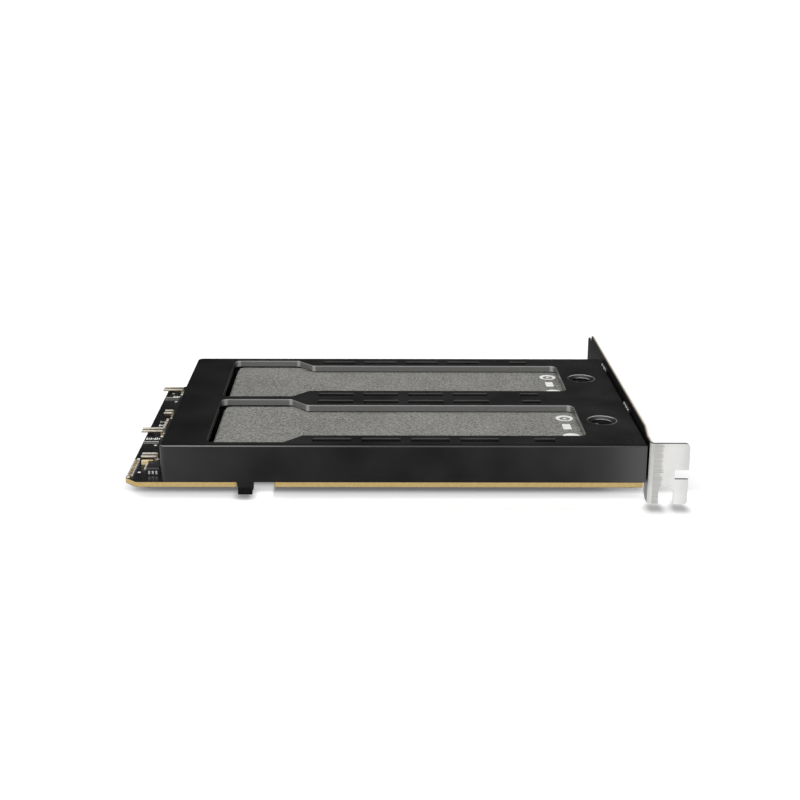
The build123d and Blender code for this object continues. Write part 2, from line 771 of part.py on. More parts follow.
    # Tray bezel: the block that fills the bracket's opening and carries the lever and the lock
    lever_pivot_y = bay_y - lever_pivot_offset
    lever_tip_y = lever_pivot_y + lever_length
    pocket = lever_thickness / 2 + running_gap
    with BuildPart() as tray_bezel:
        with BuildSketch(Plane.XY.offset(bezel_bottom)):
            rectangle(tray_right, bezel_face, tray_low_y, tray_high_y)
        extrude(amount=bezel_top - bezel_bottom)
        fillet(tray_bezel.faces().sort_by(Axis.X)[-1].edges(), bezel_edge)
        with BuildSketch(Plane.XY.offset(lever_low - running_gap)):
            with Locations((lever_x, lever_pivot_y)):
                Circle(pocket)
            rectangle(lever_x - pocket, bezel_recess, lever_pivot_y, lever_tip_y + running_gap)
            rectangle(lever_x, bezel_recess, lever_pivot_y - pocket, lever_tip_y)
        extrude(amount=lever_height + 2 * running_gap, mode=Mode.SUBTRACT)
        with BuildSketch(Plane.XY.offset(lever_middle - scoop_height / 2)):
            rectangle(lever_x - pocket - scoop_extra_depth, bezel_recess,
                      lever_tip_y - running_gap * 2, lever_tip_y + scoop_length)
        extrude(amount=scoop_height, mode=Mode.SUBTRACT)
        with BuildSketch(Plane.XY.offset(bezel_bottom)):
            with Locations((lever_x, lever_pivot_y)):
                Circle(lever_pin_radius + fastener_gap)
        extrude(amount=lever_high + lever_pin_depth - bezel_bottom, mode=Mode.SUBTRACT)
        with BuildSketch(Plane.XY.offset(lock_head_face)):
            with Locations((access_x, bay_y)):
                Circle(lock_head_radius + lock_head_gap)
        extrude(amount=bezel_top - lock_head_face, mode=Mode.SUBTRACT)
        with BuildSketch(Plane.XY.offset(bezel_bottom)):
            with Locations((access_x, bay_y)):
                Circle(large_screw_radius + fastener_gap)
        extrude(amount=lock_head_face - bezel_bottom, mode=Mode.SUBTRACT)
        with BuildSketch(Plane.YZ.offset(tray_right)):
            with Locations((bay_y, bezel_vent_level)):
                with GridLocations(bezel_vent_pitch, 1, bezel_vent_count, 1):
                    Rectangle(bezel_vent_length, bezel_vent_height)
        extrude(amount=bezel_face - tray_right, mode=Mode.SUBTRACT)
        with BuildSketch(Plane.YZ.offset(tray_right)):
            with Locations((bay_y, bezel_screw_level)):
                with GridLocations(bezel_screw_offset * 2, 1, 2, 1):
                    Circle(fine_screw_radius + fastener_gap)
        extrude(amount=bezel_screw_length, mode=Mode.SUBTRACT)
    tray_bezel.part.label = f"tray_bezel_{side}"
    export_step(tray_bezel.part, f"parts/tray_bezel_{side}.step")

    # Screws that hold the bezel to the tray base, driven from inside the trough
    with BuildPart() as bezel_screws:
        for screw_y in (bay_y - bezel_screw_offset, bay_y + bezel_screw_offset):
            add(screw(pointing(tray_right - tray_wall, screw_y, bezel_screw_level, (1, 0, 0)),
                  bezel_screw_length, fine_screw_radius, fine_head_radius, fine_head_height))
    bezel_screws.part.label = f"bezel_screws_{side}"
    export_step(bezel_screws.part, f"parts/bezel_screws_{side}.step")

    # Lever: swings out of the bezel to pull the tray
    with BuildPart() as lever:
        with BuildSketch(Plane.XY.offset(lever_low)) as lever_outline:
            with Locations((lever_x, lever_pivot_y)):
                Circle(lever_thickness / 2)
            rectangle(lever_x - lever_thickness / 2, lever_front, lever_pivot_y, lever_tip_y)
            fillet(lever_outline.vertices().group_by(Axis.Y)[-1], bezel_edge)
            with Locations((lever_x, lever_pivot_y)):
                Circle(lever_pin_radius + lever_pin_gap, mode=Mode.SUBTRACT)
            for index in range(grip_count):
                with Locations((lever_front, lever_tip_y - (index + 1) * grip_pitch)):
                    Circle(grip_radius, mode=Mode.SUBTRACT)
        extrude(amount=lever_height)
    lever.part.label = f"lever_{side}"
    export_step(lever.part, f"parts/lever_{side}.step")

    # Pin that the lever turns on
    with BuildPart() as lever_pin:
        with BuildSketch(Plane.XY.offset(bezel_bottom + lever_pin_gap)):
            with Locations((lever_x, lever_pivot_y)):
                Circle(lever_pin_radius)
        extrude(amount=lever_high + lever_pin_depth - bezel_bottom - 2 * lever_pin_gap)
    lever_pin.part.label = f"lever_pin_{side}"
    export_step(lever_pin.part, f"parts/lever_pin_{side}.step")

    # Captive screw that locks the tray, reached through the dished hole in the cover
    with BuildPart() as lock_screw:
        add(screw(pointing(access_x, bay_y, lock_head_face, (0, 0, -1)), lock_head_face - lock_screw_tip,
              large_screw_radius, lock_head_radius, lock_head_height))
    lock_screw.part.label = f"lock_screw_{side}"
    export_step(lock_screw.part, f"parts/lock_screw_{side}.step")

    # Earthing spring on the bracket's inner face, above the tray opening
    with BuildPart() as earthing_spring:
        spring_low = opening_top + spring_rise
        with BuildSketch(Plane.YZ.offset(-sheet)):
            rectangle(bay_y + spring_offset - spring_width / 2,
                      bay_y + spring_offset + spring_width / 2,
                      spring_low, spring_low + spring_height)
        extrude(amount=-spring_strip)
    earthing_spring.part.label = f"earthing_spring_{side}"
    export_step(earthing_spring.part, f"parts/earthing_spring_{side}.step")

# Pin headers along the free end: bent pins on a low carrier, their tails through the board
pin_low = pin_level - pin_size / 2
pin_high = pin_level + pin_size / 2
for number, (header_y, bend, reach) in enumerate(zip(header_places, header_bends, header_reaches), start=1):
    pin_bend_x = cover_left - bend
    carrier_right = pin_bend_x - carrier_from_bend
    with BuildPart() as header_pins:
        for pin_y in (header_y - pin_pitch / 2, header_y + pin_pitch / 2):
            with BuildSketch(Plane.XZ.offset(-(pin_y - pin_size / 2))) as pin_outline:
                rectangle(pin_bend_x - reach, pin_bend_x + pin_size / 2, pin_low, pin_high)
                fillet(pin_outline.vertices().group_by(Axis.X)[-1].sort_by(Axis.Y)[-1], pin_bend)
                rectangle(pin_bend_x - pin_size / 2, pin_bend_x + pin_size / 2,
                          board_bottom - pin_stub, pin_level)
            extrude(amount=-pin_size)
    header_pins.part.label = f"header_pins_{number}"
    export_step(header_pins.part, f"parts/header_pins_{number}.step")

    with BuildPart() as header_carrier:
        with BuildSketch():
            rectangle(carrier_right - carrier_length, carrier_right,
                      header_y - carrier_width / 2, header_y + carrier_width / 2)
        extrude(amount=pin_low)
    header_carrier.part.label = f"header_carrier_{number}"
    export_step(header_carrier.part, f"parts/header_carrier_{number}.step")

# Chip beside the front header, with its rows of leads
chip_right = cover_left - strip_chip_gap
chip_left = chip_right - strip_chip_length
with BuildPart() as strip_chip:
    with BuildSketch():
        rectangle(chip_left, chip_right,
                  strip_chip_y - strip_chip_width / 2, strip_chip_y + strip_chip_width / 2)
    extrude(amount=strip_chip_height)
strip_chip.part.label = "strip_chip"
export_step(strip_chip.part, "parts/strip_chip.step")

with BuildPart() as strip_chip_leads:
    for lead_x in (chip_left - chip_lead_length / 2, chip_right + chip_lead_length / 2):
        with BuildSketch():
            with Locations((lead_x, strip_chip_y)):
                with GridLocations(1, chip_lead_pitch, 1, chip_lead_count):
                    Rectangle(chip_lead_length, chip_lead_width)
        extrude(amount=chip_lead_height)
strip_chip_leads.part.label = "strip_chip_leads"
export_step(strip_chip_leads.part, "parts/strip_chip_leads.step")

# Taller moulded part in front of the chip
block_left = chip_left + strip_block_inset
block_front = board_front + strip_block_front
with BuildPart() as strip_block:
    with BuildSketch():
        rectangle(block_left, block_left + strip_block_length, block_front, block_front + strip_block_width)
    extrude(amount=strip_block_height)
    chamfer(strip_block.faces().sort_by(Axis.Z)[-1].edges(), strip_block_corner)
strip_block.part.label = "strip_block"
export_step(strip_block.part, "parts/strip_block.step")

# Small two-ended parts: a row at the board's free edge, and a row behind the edge connector
with BuildPart() as strip_parts:
    strip_part_x = board_left + strip_part_from_edge + small_part_length / 2
    with BuildSketch():
        for index in range(strip_part_count):
            with Locations((strip_part_x, board_front + strip_part_first + index * strip_part_pitch)):
                Rectangle(small_part_length, small_part_width)
    extrude(amount=small_part_height)
strip_parts.part.label = "strip_parts"
export_step(strip_parts.part, "parts/strip_parts.step")

with BuildPart() as coupling_parts:
    coupling_x = key_x - (key_slot_width + long_tongue) / 2
    with BuildSketch():
        with Locations((coupling_x, board_back - coupling_part_from_back)):
            with GridLocations(coupling_part_pitch, 1, coupling_part_count, 1):
                Rectangle(small_part_width, small_part_length)
    extrude(amount=small_part_height)
coupling_parts.part.label = "coupling_parts"
export_step(coupling_parts.part, "parts/coupling_parts.step")

# Power parts on the open strip between the cover and the edge connector
power_y = (cover_back + board_back) / 2
power_x = board_left + power_part_start
with BuildPart() as inductor:
    with BuildSketch() as inductor_outline:
        with Locations((power_x, power_y)):
            Rectangle(inductor_size, inductor_size)
        chamfer(inductor_outline.vertices(), inductor_corner)
    extrude(amount=inductor_height)
inductor.part.label = "inductor"
export_step(inductor.part, "parts/inductor.step")

with BuildPart() as regulator:
    with BuildSketch():
        with Locations((power_x + power_part_spacing, power_y)):
            Rectangle(regulator_size, regulator_size)
    extrude(amount=regulator_height)
regulator.part.label = "regulator"
export_step(regulator.part, "parts/regulator.step")

with BuildPart() as bulk_parts:
    with BuildSketch():
        with Locations((power_x + 2 * power_part_spacing, power_y), (power_x + 3 * power_part_spacing, power_y)):
            Rectangle(bulk_part_width, bulk_part_length)
    extrude(amount=bulk_part_height)
bulk_parts.part.label = "bulk_parts"
export_step(bulk_parts.part, "parts/bulk_parts.step")
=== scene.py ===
"""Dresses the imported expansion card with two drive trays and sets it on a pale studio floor.

The card lies flat with its component side up. Every piece ends up in metres, in the model's own frame: X
points out through the slot bracket, Y from the tab to the edge connector, Z up from the board's upper face.
Finishes hold their sizes in metres, and the new pieces hold theirs in millimetres.
"""

from __future__ import annotations

import logging
import math
from dataclasses import dataclass
from enum import Enum
from typing import Any, Iterable, Sequence, Union

import bmesh
import bpy
from mathutils import Matrix, Vector

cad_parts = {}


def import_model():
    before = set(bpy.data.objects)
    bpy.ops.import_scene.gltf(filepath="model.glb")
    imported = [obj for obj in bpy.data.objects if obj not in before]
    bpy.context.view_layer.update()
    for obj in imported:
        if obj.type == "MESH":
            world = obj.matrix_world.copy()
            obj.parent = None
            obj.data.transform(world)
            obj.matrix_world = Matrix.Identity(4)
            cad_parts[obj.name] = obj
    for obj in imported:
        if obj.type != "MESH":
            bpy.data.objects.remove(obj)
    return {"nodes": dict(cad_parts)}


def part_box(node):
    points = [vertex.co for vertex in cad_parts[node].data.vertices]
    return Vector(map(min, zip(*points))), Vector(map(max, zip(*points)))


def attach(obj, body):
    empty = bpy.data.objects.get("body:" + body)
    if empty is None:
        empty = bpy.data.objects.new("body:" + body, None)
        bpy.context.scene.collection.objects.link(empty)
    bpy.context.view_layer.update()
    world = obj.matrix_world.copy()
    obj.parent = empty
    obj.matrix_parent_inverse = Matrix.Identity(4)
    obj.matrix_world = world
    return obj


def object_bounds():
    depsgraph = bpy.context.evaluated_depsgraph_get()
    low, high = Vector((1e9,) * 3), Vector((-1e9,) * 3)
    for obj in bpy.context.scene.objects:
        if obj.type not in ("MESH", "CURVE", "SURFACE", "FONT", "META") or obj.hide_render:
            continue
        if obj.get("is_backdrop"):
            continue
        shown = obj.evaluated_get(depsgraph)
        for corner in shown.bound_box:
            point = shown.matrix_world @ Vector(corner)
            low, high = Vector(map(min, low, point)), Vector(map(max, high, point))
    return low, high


LOG = logging.getLogger("card")

MM = 0.001

Colour = tuple[float, float, float]
Place = tuple[float, float, float]
Span = tuple[float, float]
Number = Union["Wire", float, int]

WHITE: Colour = (1.0, 1.0, 1.0)
BLACK: Colour = (0.0, 0.0, 0.0)

# A face looks straight along an axis where that part of its direction is larger than this
SQUARE_ON = 0.9


class Bay(Enum):
    """The two drive bays, by the end of the bracket that they are nearer to."""

    FRONT = "front"
    BACK = "back"


class Body(Enum):
    """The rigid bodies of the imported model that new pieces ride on."""

    CARD = "card"
    FRONT_TRAY = "front_tray"
    BACK_TRAY = "back_tray"


class Row(Enum):
    """The axis that a row of equal parts runs along, by its number."""

    ALONG_X = 0
    ALONG_Y = 1


TRAY_OF_BAY = {Bay.FRONT: Body.FRONT_TRAY, Bay.BACK: Body.BACK_TRAY}

# The parts in each row of small two-ended parts
STRIP_PART_COUNT = 7
COUPLING_PART_COUNT = 16


# Shader helpers


class Wire:
    """One output socket of a node, with Python's operators as Math nodes."""

    def __init__(self, graph: "Graph", socket: bpy.types.NodeSocket) -> None:
        """Wraps a socket.

        Args:
            graph: The material's graph that the socket belongs to.
            socket: The output socket.
        """
        self.graph = graph
        self.socket = socket

    def _maths(self, operation: str, left: Number, right: Number = 0.0, clamp: bool = False) -> "Wire":
        """Adds one Math node.

        Args:
            operation: The node's operation.
            left: The first value.
            right: The second value.
            clamp: Whether the result is held between 0 and 1.

        Returns:
            The node's output.
        """
        settings = {"operation": operation, "use_clamp": clamp}
        return self.graph.wire("ShaderNodeMath", settings, {0: left, 1: right})

    def __add__(self, other: Number) -> "Wire":
        """Adds a value."""
        return self._maths("ADD", self, other)

    def __radd__(self, other: Number) -> "Wire":
        """Is added to a value."""
        return self._maths("ADD", other, self)

    def __sub__(self, other: Number) -> "Wire":
        """Takes a value away."""
        return self._maths("SUBTRACT", self, other)

    def __rsub__(self, other: Number) -> "Wire":
        """Is taken away from a value."""
        return self._maths("SUBTRACT", other, self)

    def __mul__(self, other: Number) -> "Wire":
        """Multiplies by a value."""
        return self._maths("MULTIPLY", self, other)

    def __rmul__(self, other: Number) -> "Wire":
        """Multiplies a value."""
        return self._maths("MULTIPLY", other, self)

    def __gt__(self, other: Number) -> "Wire":
        """Is 1 where this is larger than the value."""
        return self._maths("GREATER_THAN", self, other)

    def __lt__(self, other: Number) -> "Wire":
        """Is 1 where this is smaller than the value."""
        return self._maths("LESS_THAN", self, other)

    def absolute(self) -> "Wire":
        """Gives the value without its sign."""
        return self._maths("ABSOLUTE", self)

    def larger(self, other: Number) -> "Wire":
        """Gives the larger of the two values."""
        return self._maths("MAXIMUM", self, other)

    def clamped(self) -> "Wire":
        """Holds the value between 0 and 1."""
        return self._maths("ADD", self, 0.0, clamp=True)

    def near(self, place: float, inner: float, outer: float) -> "Wire":
        """Falls smoothly from 1 within a distance of a place to 0 beyond another distance."""
        return 1.0 - (self - place).absolute().step(inner, outer)

    def step(self, low: float, high: float) -> "Wire":
        """Rises smoothly from 0 to 1.

        Args:
            low: The value below which the result is 0.
            high: The value above which the result is 1.

        Returns:
            The smooth step.
        """
        settings = {"interpolation_type": "SMOOTHSTEP"}
        sockets = {"Value": self, "From Min": low, "From Max": high}
        return self.graph.wire("ShaderNodeMapRange", settings, sockets)

    def spread(self, half: float) -> "Wire":
        """Rises smoothly from 0 to 1 within a half width to each side of 0.5."""
        return self.step(0.5 - half, 0.5 + half)

    def swing(self, half: float) -> "Wire":
        """Turns a value from 0 to 1 into one from minus a half width to plus it."""
        return (self - 0.5) * (2.0 * half)


class Graph:
    """The node tree of a material or of the world, with one method that makes any node."""

    def __init__(self, owner: Union[bpy.types.Material, bpy.types.World]) -> None:
        """Empties the owner's node tree.

        Args:
            owner: The material or the world.
        """
        owner.use_nodes = True
        self.owner = owner
        self.tree = owner.node_tree
        self.tree.nodes.clear()
        self._point: bpy.types.Node | None = None

    @classmethod
    def of_material(cls, name: str) -> "Graph":
        """Makes a material with an empty tree."""
        return cls(bpy.data.materials.new(name))

    def node(
        self, kind: str, settings: dict[str, Any] | None = None, sockets: dict[Any, Any] | None = None
    ) -> bpy.types.Node:
        """Makes one node.

        Args:
            kind: The node's type.
            settings: Its properties.
            sockets: The values or links of its input sockets, by name or number.

        Returns:
            The node.
        """
        made = self.tree.nodes.new(kind)
        for key, value in (settings or {}).items():
            setattr(made, key, value)
        for key, value in (sockets or {}).items():
            if isinstance(value, Wire):
                self.tree.links.new(value.socket, made.inputs[key])
            elif isinstance(value, tuple) and made.inputs[key].type == "RGBA":
                made.inputs[key].default_value = (*value, 1.0)
            else:
                made.inputs[key].default_value = value
        return made

    def wire(
        self,
        kind: str,
        settings: dict[str, Any] | None = None,
        sockets: dict[Any, Any] | None = None,
        output: int | str = 0,
    ) -> Wire:
        """Makes a node and gives one of its outputs.

        Args:
            kind: The node's type.
            settings: Its properties.
            sockets: The values or links of its inputs.
            output: The output's name or number.

        Returns:
            The output.
        """
        return Wire(self, self.node(kind, settings, sockets).outputs[output])

    def point(self) -> Wire:
        """Gives the point in the piece's own coordinates.

        Returns:
            The point, from one node that the whole graph shares.
        """
        if self._point is None:
            self._point = self.node("ShaderNodeTexCoord")
        return Wire(self, self._point.outputs["Object"])

    def axes(self) -> tuple[Wire, Wire, Wire]:
        """Gives the point's X, Y and Z in metres."""
        return self.split(self.point())

    def facing(self) -> tuple[Wire, Wire, Wire]:
        """Gives the X, Y and Z of the surface's own direction."""
        self.point()
        return self.split(Wire(self, self._point.outputs["Normal"]))

    def split(self, vector: Wire) -> tuple[Wire, Wire, Wire]:
        """Splits a vector into its three parts."""
        parts = self.node("ShaderNodeSeparateXYZ", None, {0: vector})
        return tuple(Wire(self, parts.outputs[index]) for index in range(3))

    def stretched(self, scale: Sequence[float]) -> Wire:
        """Gives the point stretched along each axis.

        Args:
            scale: The factor along X, Y and Z.

        Returns:
            The stretched point.
        """
        return self.wire("ShaderNodeMapping", None, {"Vector": self.point(), "Scale": tuple(scale)})

    def noise(self, per_metre: float, detail: float = 2.0, vector: Wire | None = None) -> Wire:
        """Gives soft noise from 0 to 1.

        Args:
            per_metre: How many patches lie on a metre.
            detail: The number of finer layers.
            vector: The point to read, or the piece's own coordinates.

        Returns:
            The noise.
        """
        sockets = {"Vector": vector or self.point(), "Scale": per_metre, "Detail": detail}
        return self.wire("ShaderNodeTexNoise", None, sockets)

    def light_path(self, kind: str) -> Wire:
        """Is 1 for the named kind of ray."""
        return self.wire("ShaderNodeLightPath", None, None, kind)

    def blend(self, factor: Number, low: Union[Colour, Wire], high: Union[Colour, Wire]) -> Wire:
        """Mixes two colours.

        Args:
            factor: 0 for the first colour, 1 for the second.
            low: The first colour.
            high: The second colour.

        Returns:
            The mixed colour.
        """
        mix = self.node("ShaderNodeMix", {"data_type": "RGBA"})
        for key, value in ((0, factor), (6, low), (7, high)):
            if isinstance(value, Wire):
                self.tree.links.new(value.socket, mix.inputs[key])
            elif key == 0:
                mix.inputs[key].default_value = value
            else:
                mix.inputs[key].default_value = (*value, 1.0)
        return Wire(self, mix.outputs[2])

    def bump(self, height: Wire, depth: float) -> Wire:
        """Gives the normal of a relief.

        Args:
            height: The relief from 0 to 1.
            depth: Its real depth in metres.

        Returns:
            The bent normal.
        """
        sockets = {"Height": height, "Distance": depth, "Strength": 1.0}
        return self.wire("ShaderNodeBump", None, sockets, "Normal")

    def surface(self, sockets: dict[str, Any]) -> bpy.types.Material:
        """Ends the graph in a Principled surface.

        Args:
            sockets: The shader's sockets.

        Returns:
            The finished material.
        """
        shader = self.wire("ShaderNodeBsdfPrincipled", None, sockets)
        self.node("ShaderNodeOutputMaterial", None, {"Surface": shader})
        return self.owner


# Finishes


@dataclass(frozen=True)
class Speckled:
    """A plain finish with fine grain, and slow changes of tone over the piece."""

    name: str
    dark: Colour
    light: Colour
    grain_per_metre: float
    grain_depth: float
    roughness: float
    metallic: float = 0.0
    specular: float = 0.5
    drift_per_metre: float = 40.0
    roughness_drift: float = 0.08
    mottling: float = 0.5
    tone_half: float = 0.25

    def material(self) -> bpy.types.Material:
        """Builds the finish.

        Returns:
            The finished material.
        """
        graph = Graph.of_material(self.name)
        grain = graph.noise(self.grain_per_metre, detail=3.0)
        drift = graph.noise(self.drift_per_metre)
        tone = (grain * self.mottling + drift * (1.0 - self.mottling)).spread(self.tone_half)
        return graph.surface(
            {
                "Base Color": graph.blend(tone, self.dark, self.light),
                "Roughness": (self.roughness + drift.swing(self.roughness_drift)).clamped(),
                "Metallic": self.metallic,
                "Specular IOR Level": self.specular,
                "Normal": graph.bump(grain, self.grain_depth),
            }
        )


@dataclass(frozen=True)
class FleckedOxide:
    """Blackened steel with bright flecks of bare steel within a reach of one X: wear where the reach spans
    the piece, a painted glint where it is short.
    """

    name: str
    oxide: Colour
    steel: Colour
    flecks_per_metre: float
    roughness: float
    fleck_level: float = 0.57
    fleck_edge: float = 0.06
    fleck_x: float = 0.0
    fleck_reach: float = 1.0
    fleck_polish: float = 0.1
    grains_per_fleck: float = 3.0
    grain_depth: float = 0.01 * MM
    roughness_drift: float = 0.1
    metallic: float = 0.9

    def material(self) -> bpy.types.Material:
        """Builds the finish.

        Returns:
            The finished material.
        """
        graph = Graph.of_material(self.name)
        x, _, _ = graph.axes()
        fleck = graph.noise(self.flecks_per_metre, detail=1.0)
        fleck = fleck.step(self.fleck_level, self.fleck_level + self.fleck_edge)
        # A short reach makes the flecks a painted glint.
        fleck = fleck * x.near(self.fleck_x, 0.5 * self.fleck_reach, self.fleck_reach)
        grain = graph.noise(self.grains_per_fleck * self.flecks_per_metre)
        roughness = self.roughness + grain.swing(self.roughness_drift) - fleck * self.fleck_polish
        return graph.surface(
            {
                "Base Color": graph.blend(fleck, self.oxide, self.steel),
                "Roughness": roughness.clamped(),
                "Metallic": self.metallic,
                "Normal": graph.bump(grain, self.grain_depth),
            }
        )


@dataclass(frozen=True)
class PinGold:
    """Pale gold plating on the header pins, with a painted highlight on their upper faces and painted shade,
    brown, under their level stretch.
    """

    name: str
    dark: Colour
    light: Colour
    # Painted shade under the level stretch.
    under: Colour
    level_low: float
    level_high: float
    crown_span: Span = (0.3, 0.8)
    crown_fade: float = 0.15 * MM
    crown_share: float = 0.75
    under_fade: float = 0.12 * MM
    mottles_per_metre: float = 900.0
    mottle_half: float = 0.2
    roughness: float = 0.3
    metallic: float = 0.25

    def material(self) -> bpy.types.Material:
        """Builds the finish.

        Returns:
            The finished material.
        """
        graph = Graph.of_material(self.name)
        _, _, z = graph.axes()
        _, _, up = graph.facing()
        # Painted highlight on the upper faces and above the level stretch.
        top_highlight = up.step(*self.crown_span).larger(z.step(self.level_high, self.level_high + self.crown_fade))
        mottle = graph.noise(self.mottles_per_metre).spread(self.mottle_half)
        tone = mottle * (1.0 - self.crown_share) + top_highlight * self.crown_share
        # Painted shade under the level stretch.
        lower = (z > self.level_low) * (1.0 - z.step(self.level_high - self.under_fade, self.level_high))
        return graph.surface(
            {
                "Base Color": graph.blend(lower, graph.blend(tone, self.dark, self.light), self.under),
                "Roughness": self.roughness,
                "Metallic": self.metallic,
            }
        )


@dataclass(frozen=True)
class MouldedCover:
    """The cover's black plastic: fine grain outside, smooth on the front walls of its openings, whose paler
    colour is painted light.
    """

    name: str
    dark: Colour
    light: Colour
    # Painted light: the lit walls, the highlight lines on their edges and on the front edge, the glints and
    # the sheen.
    lit_reveal: Colour
    rim: Colour
    glint: Colour
    sheen: Colour
    top: float
    inner_left: float
    inner_right: float
    inner_front: float
    inner_back: float
    middle: float
    half_pitch: float
    window_half: float
    wide_end: float
    lip_bottom: float
    leg_top: float
    corner_places: tuple[float, ...]
    access_x: float
    dish_bottom: float
    facing_span: Span = (0.25, 0.6)
    end_wall_share: float = 0.6
    line_height: float = 0.42 * MM
    line_solid: float = 0.75
    vent_share: float = 0.4
    # Painted highlight line on the walls that face +X.
    side_highlight_span: Span = (0.3, 0.9)
    side_highlight_share: float = 0.22
    # Painted glints at the walls' corners.
    corner_fade: Span = (0.15 * MM, 0.9 * MM)
    corner_share: float = 0.7
    # Painted glints round the access holes.
    dish_reach: Span = (3.0 * MM, 5.2 * MM)
    dish_half: float = 5.0 * MM
    dish_facing: Span = (0.02, 0.35)
    rim_fade: Span = (0.05 * MM, 0.18 * MM)
    foot_fade: Span = (0.05 * MM, 0.16 * MM)
    foot_length: float = 2.0 * MM
    foot_share: float = 0.6
    ring_glint_square: float = 20.0 * MM**2
    ring_glint_fade: Span = (0.5 * MM**2, 2.7 * MM**2)
    ring_glint_span: Span = (-3.0 * MM, 4.0 * MM)
    ring_glint_share: float = 0.10
    ring_glint_gain: float = 0.22
    # Painted highlight along the front edge's rounding.
    bevel_tilt: float = 0.7
    bevel_fade: Span = (0.08, 0.28)
    bevel_facing: Span = (0.2, 0.5)
    middle_x: float = -70.0 * MM
    edge_highlight_share: float = 0.12
    edge_highlight_left_gain: float = 0.8
    bevel_roughness: float = 0.22
    # Painted sheen at the right end of the front face.
    sheen_from: float = -15.0 * MM
    # Painted shade on the top's margins.
    front_shade_span: Span = (0.5, 1.3)
    left_shade_width: float = 20.0 * MM
    margin_shade: float = 0.8
    grain_per_metre: float = 2600.0
    grain_depth: float = 0.02 * MM
    grain_share: float = 0.3
    drift_per_metre: float = 75.0
    tone_half: float = 0.18
    roughness: float = 0.42
    roughness_drift: float = 0.125
    wall_polish: float = 0.12
    specular: float = 0.5

    def _from_bay(self, graph: Graph) -> Wire:
        """Gives the distance in Y from the middle of the nearer bay."""
        _, y, _ = graph.axes()
        return ((y - self.middle).absolute() - self.half_pitch).absolute()

    def _walls(self, graph: Graph) -> tuple[Wire, Wire]:
        """Finds the walls of the windows and vents that face the front, which carry painted light.

        Args:
            graph: The material's graph.

        Returns:
            The share of each wall that shows, and its colour: painted light, with a painted highlight line
            along its upper edge and painted glints at the corners.
        """
        x, y, z = graph.axes()
        across, along, _ = graph.facing()
        inside = (x > self.inner_left) * (x < self.inner_right)
        inside = inside * (y > self.inner_front) * (y < self.inner_back)
        window = (x < self.wide_end).larger(self._from_bay(graph) < self.window_half)
        # Painted light: walls that face the front, and less so the end walls that face -X, take the lit
        # colour.
        facing = (along * -1.0).larger(across * -self.end_wall_share).step(*self.facing_span)
        line = z.step(self.top - self.line_height, self.top - self.line_solid * self.line_height)
        lit = facing * window.larger(line * self.vent_share)
        # Painted highlight: a light line along the top of the walls that face +X.
        shaded = line * across.step(*self.side_highlight_span) * self.side_highlight_share
        # Painted glints where the walls turn at the corners.
        corner = 0.0
        for place in self.corner_places:
            corner = x.near(place, *self.corner_fade) + corner
        colour = graph.blend(line, self.lit_reveal, self.rim)
        colour = graph.blend((corner * window * self.corner_share).clamped(), colour, self.glint)
        return inside * (z > self.lip_bottom) * lit.larger(shaded), colour

    def _access_rings(self, graph: Graph) -> Wire:
        """Finds the painted glints: bright arcs on the far edges of the dished access holes, and a faint
        painted ring of light on the top round each.

        Args:
            graph: The material's graph.

        Returns:
            The share of the painted glints that shows.
        """
        x, _, z = graph.axes()
        _, along, up = graph.facing()
        from_bay = self._from_bay(graph)
        from_access = x - self.access_x
        # Painted glints on the dish's rim and foot, and a faint painted ring of light on the top.
        foot = z.near(self.dish_bottom, *self.foot_fade) * from_access.step(-self.foot_length, 0.0)
        dish = z.near(self.top, *self.rim_fade) + foot * self.foot_share
        dish = dish * x.near(self.access_x, *self.dish_reach) * (from_bay < self.dish_half)
        dish = dish * (along * -1.0).step(*self.dish_facing)
        square = from_access * from_access + from_bay * from_bay
        share = from_access.step(*self.ring_glint_span) * self.ring_glint_gain + self.ring_glint_share
        ring_glint = square.near(self.ring_glint_square, *self.ring_glint_fade) * (up > SQUARE_ON) * share
        return ((dish + ring_glint) * (x > self.inner_right)).clamped()

    def _outside(self, graph: Graph, tone: Wire, edge_highlight: Wire) -> Wire:
        """Colours the outside, with painted shade on the top's margins and on the legs, a painted sheen at
        the right end and a painted highlight along the front edge.

        Args:
            graph: The material's graph.
            tone: The slow change from the dark to the light plastic.
            edge_highlight: The share of the front edge that takes the painted highlight.

        Returns:
            The colour.
        """
        x, y, z = graph.axes()
        _, along, up = graph.facing()
        # Painted shade: the top darkens along its front and left margins, and the legs below the board are
        # black.
        front_start, front_end = self.front_shade_span
        front = 1.0 - y.step(front_start * self.inner_front, front_end * self.inner_front)
        left = 1.0 - x.step(self.inner_left, self.inner_left + self.left_shade_width)
        margin = ((up > SQUARE_ON) * front.larger(left)).larger(z < self.leg_top)
        colour = graph.blend(tone, self.dark, self.light)
        colour = graph.blend(margin * self.margin_shade, colour, BLACK)
        # Painted sheen on the front face near the right end.
        colour = graph.blend(x.step(self.sheen_from, 0.0) * (along < -SQUARE_ON), colour, self.sheen)
        # Painted highlight along the front edge.
        return graph.blend(edge_highlight, colour, self.rim)

    def material(self) -> bpy.types.Material:
        """Builds the finish.

        Returns:
            The finished material.
        """
        graph = Graph.of_material(self.name)
        x, y, _ = graph.axes()
        _, along, up = graph.facing()
        grain = graph.noise(self.grain_per_metre)
        drift = graph.noise(self.drift_per_metre, detail=4.0)
        tone = (grain * self.grain_share + drift * (1.0 - self.grain_share)).spread(self.tone_half)
        left = 1.0 - x.step(self.inner_left, self.middle_x)
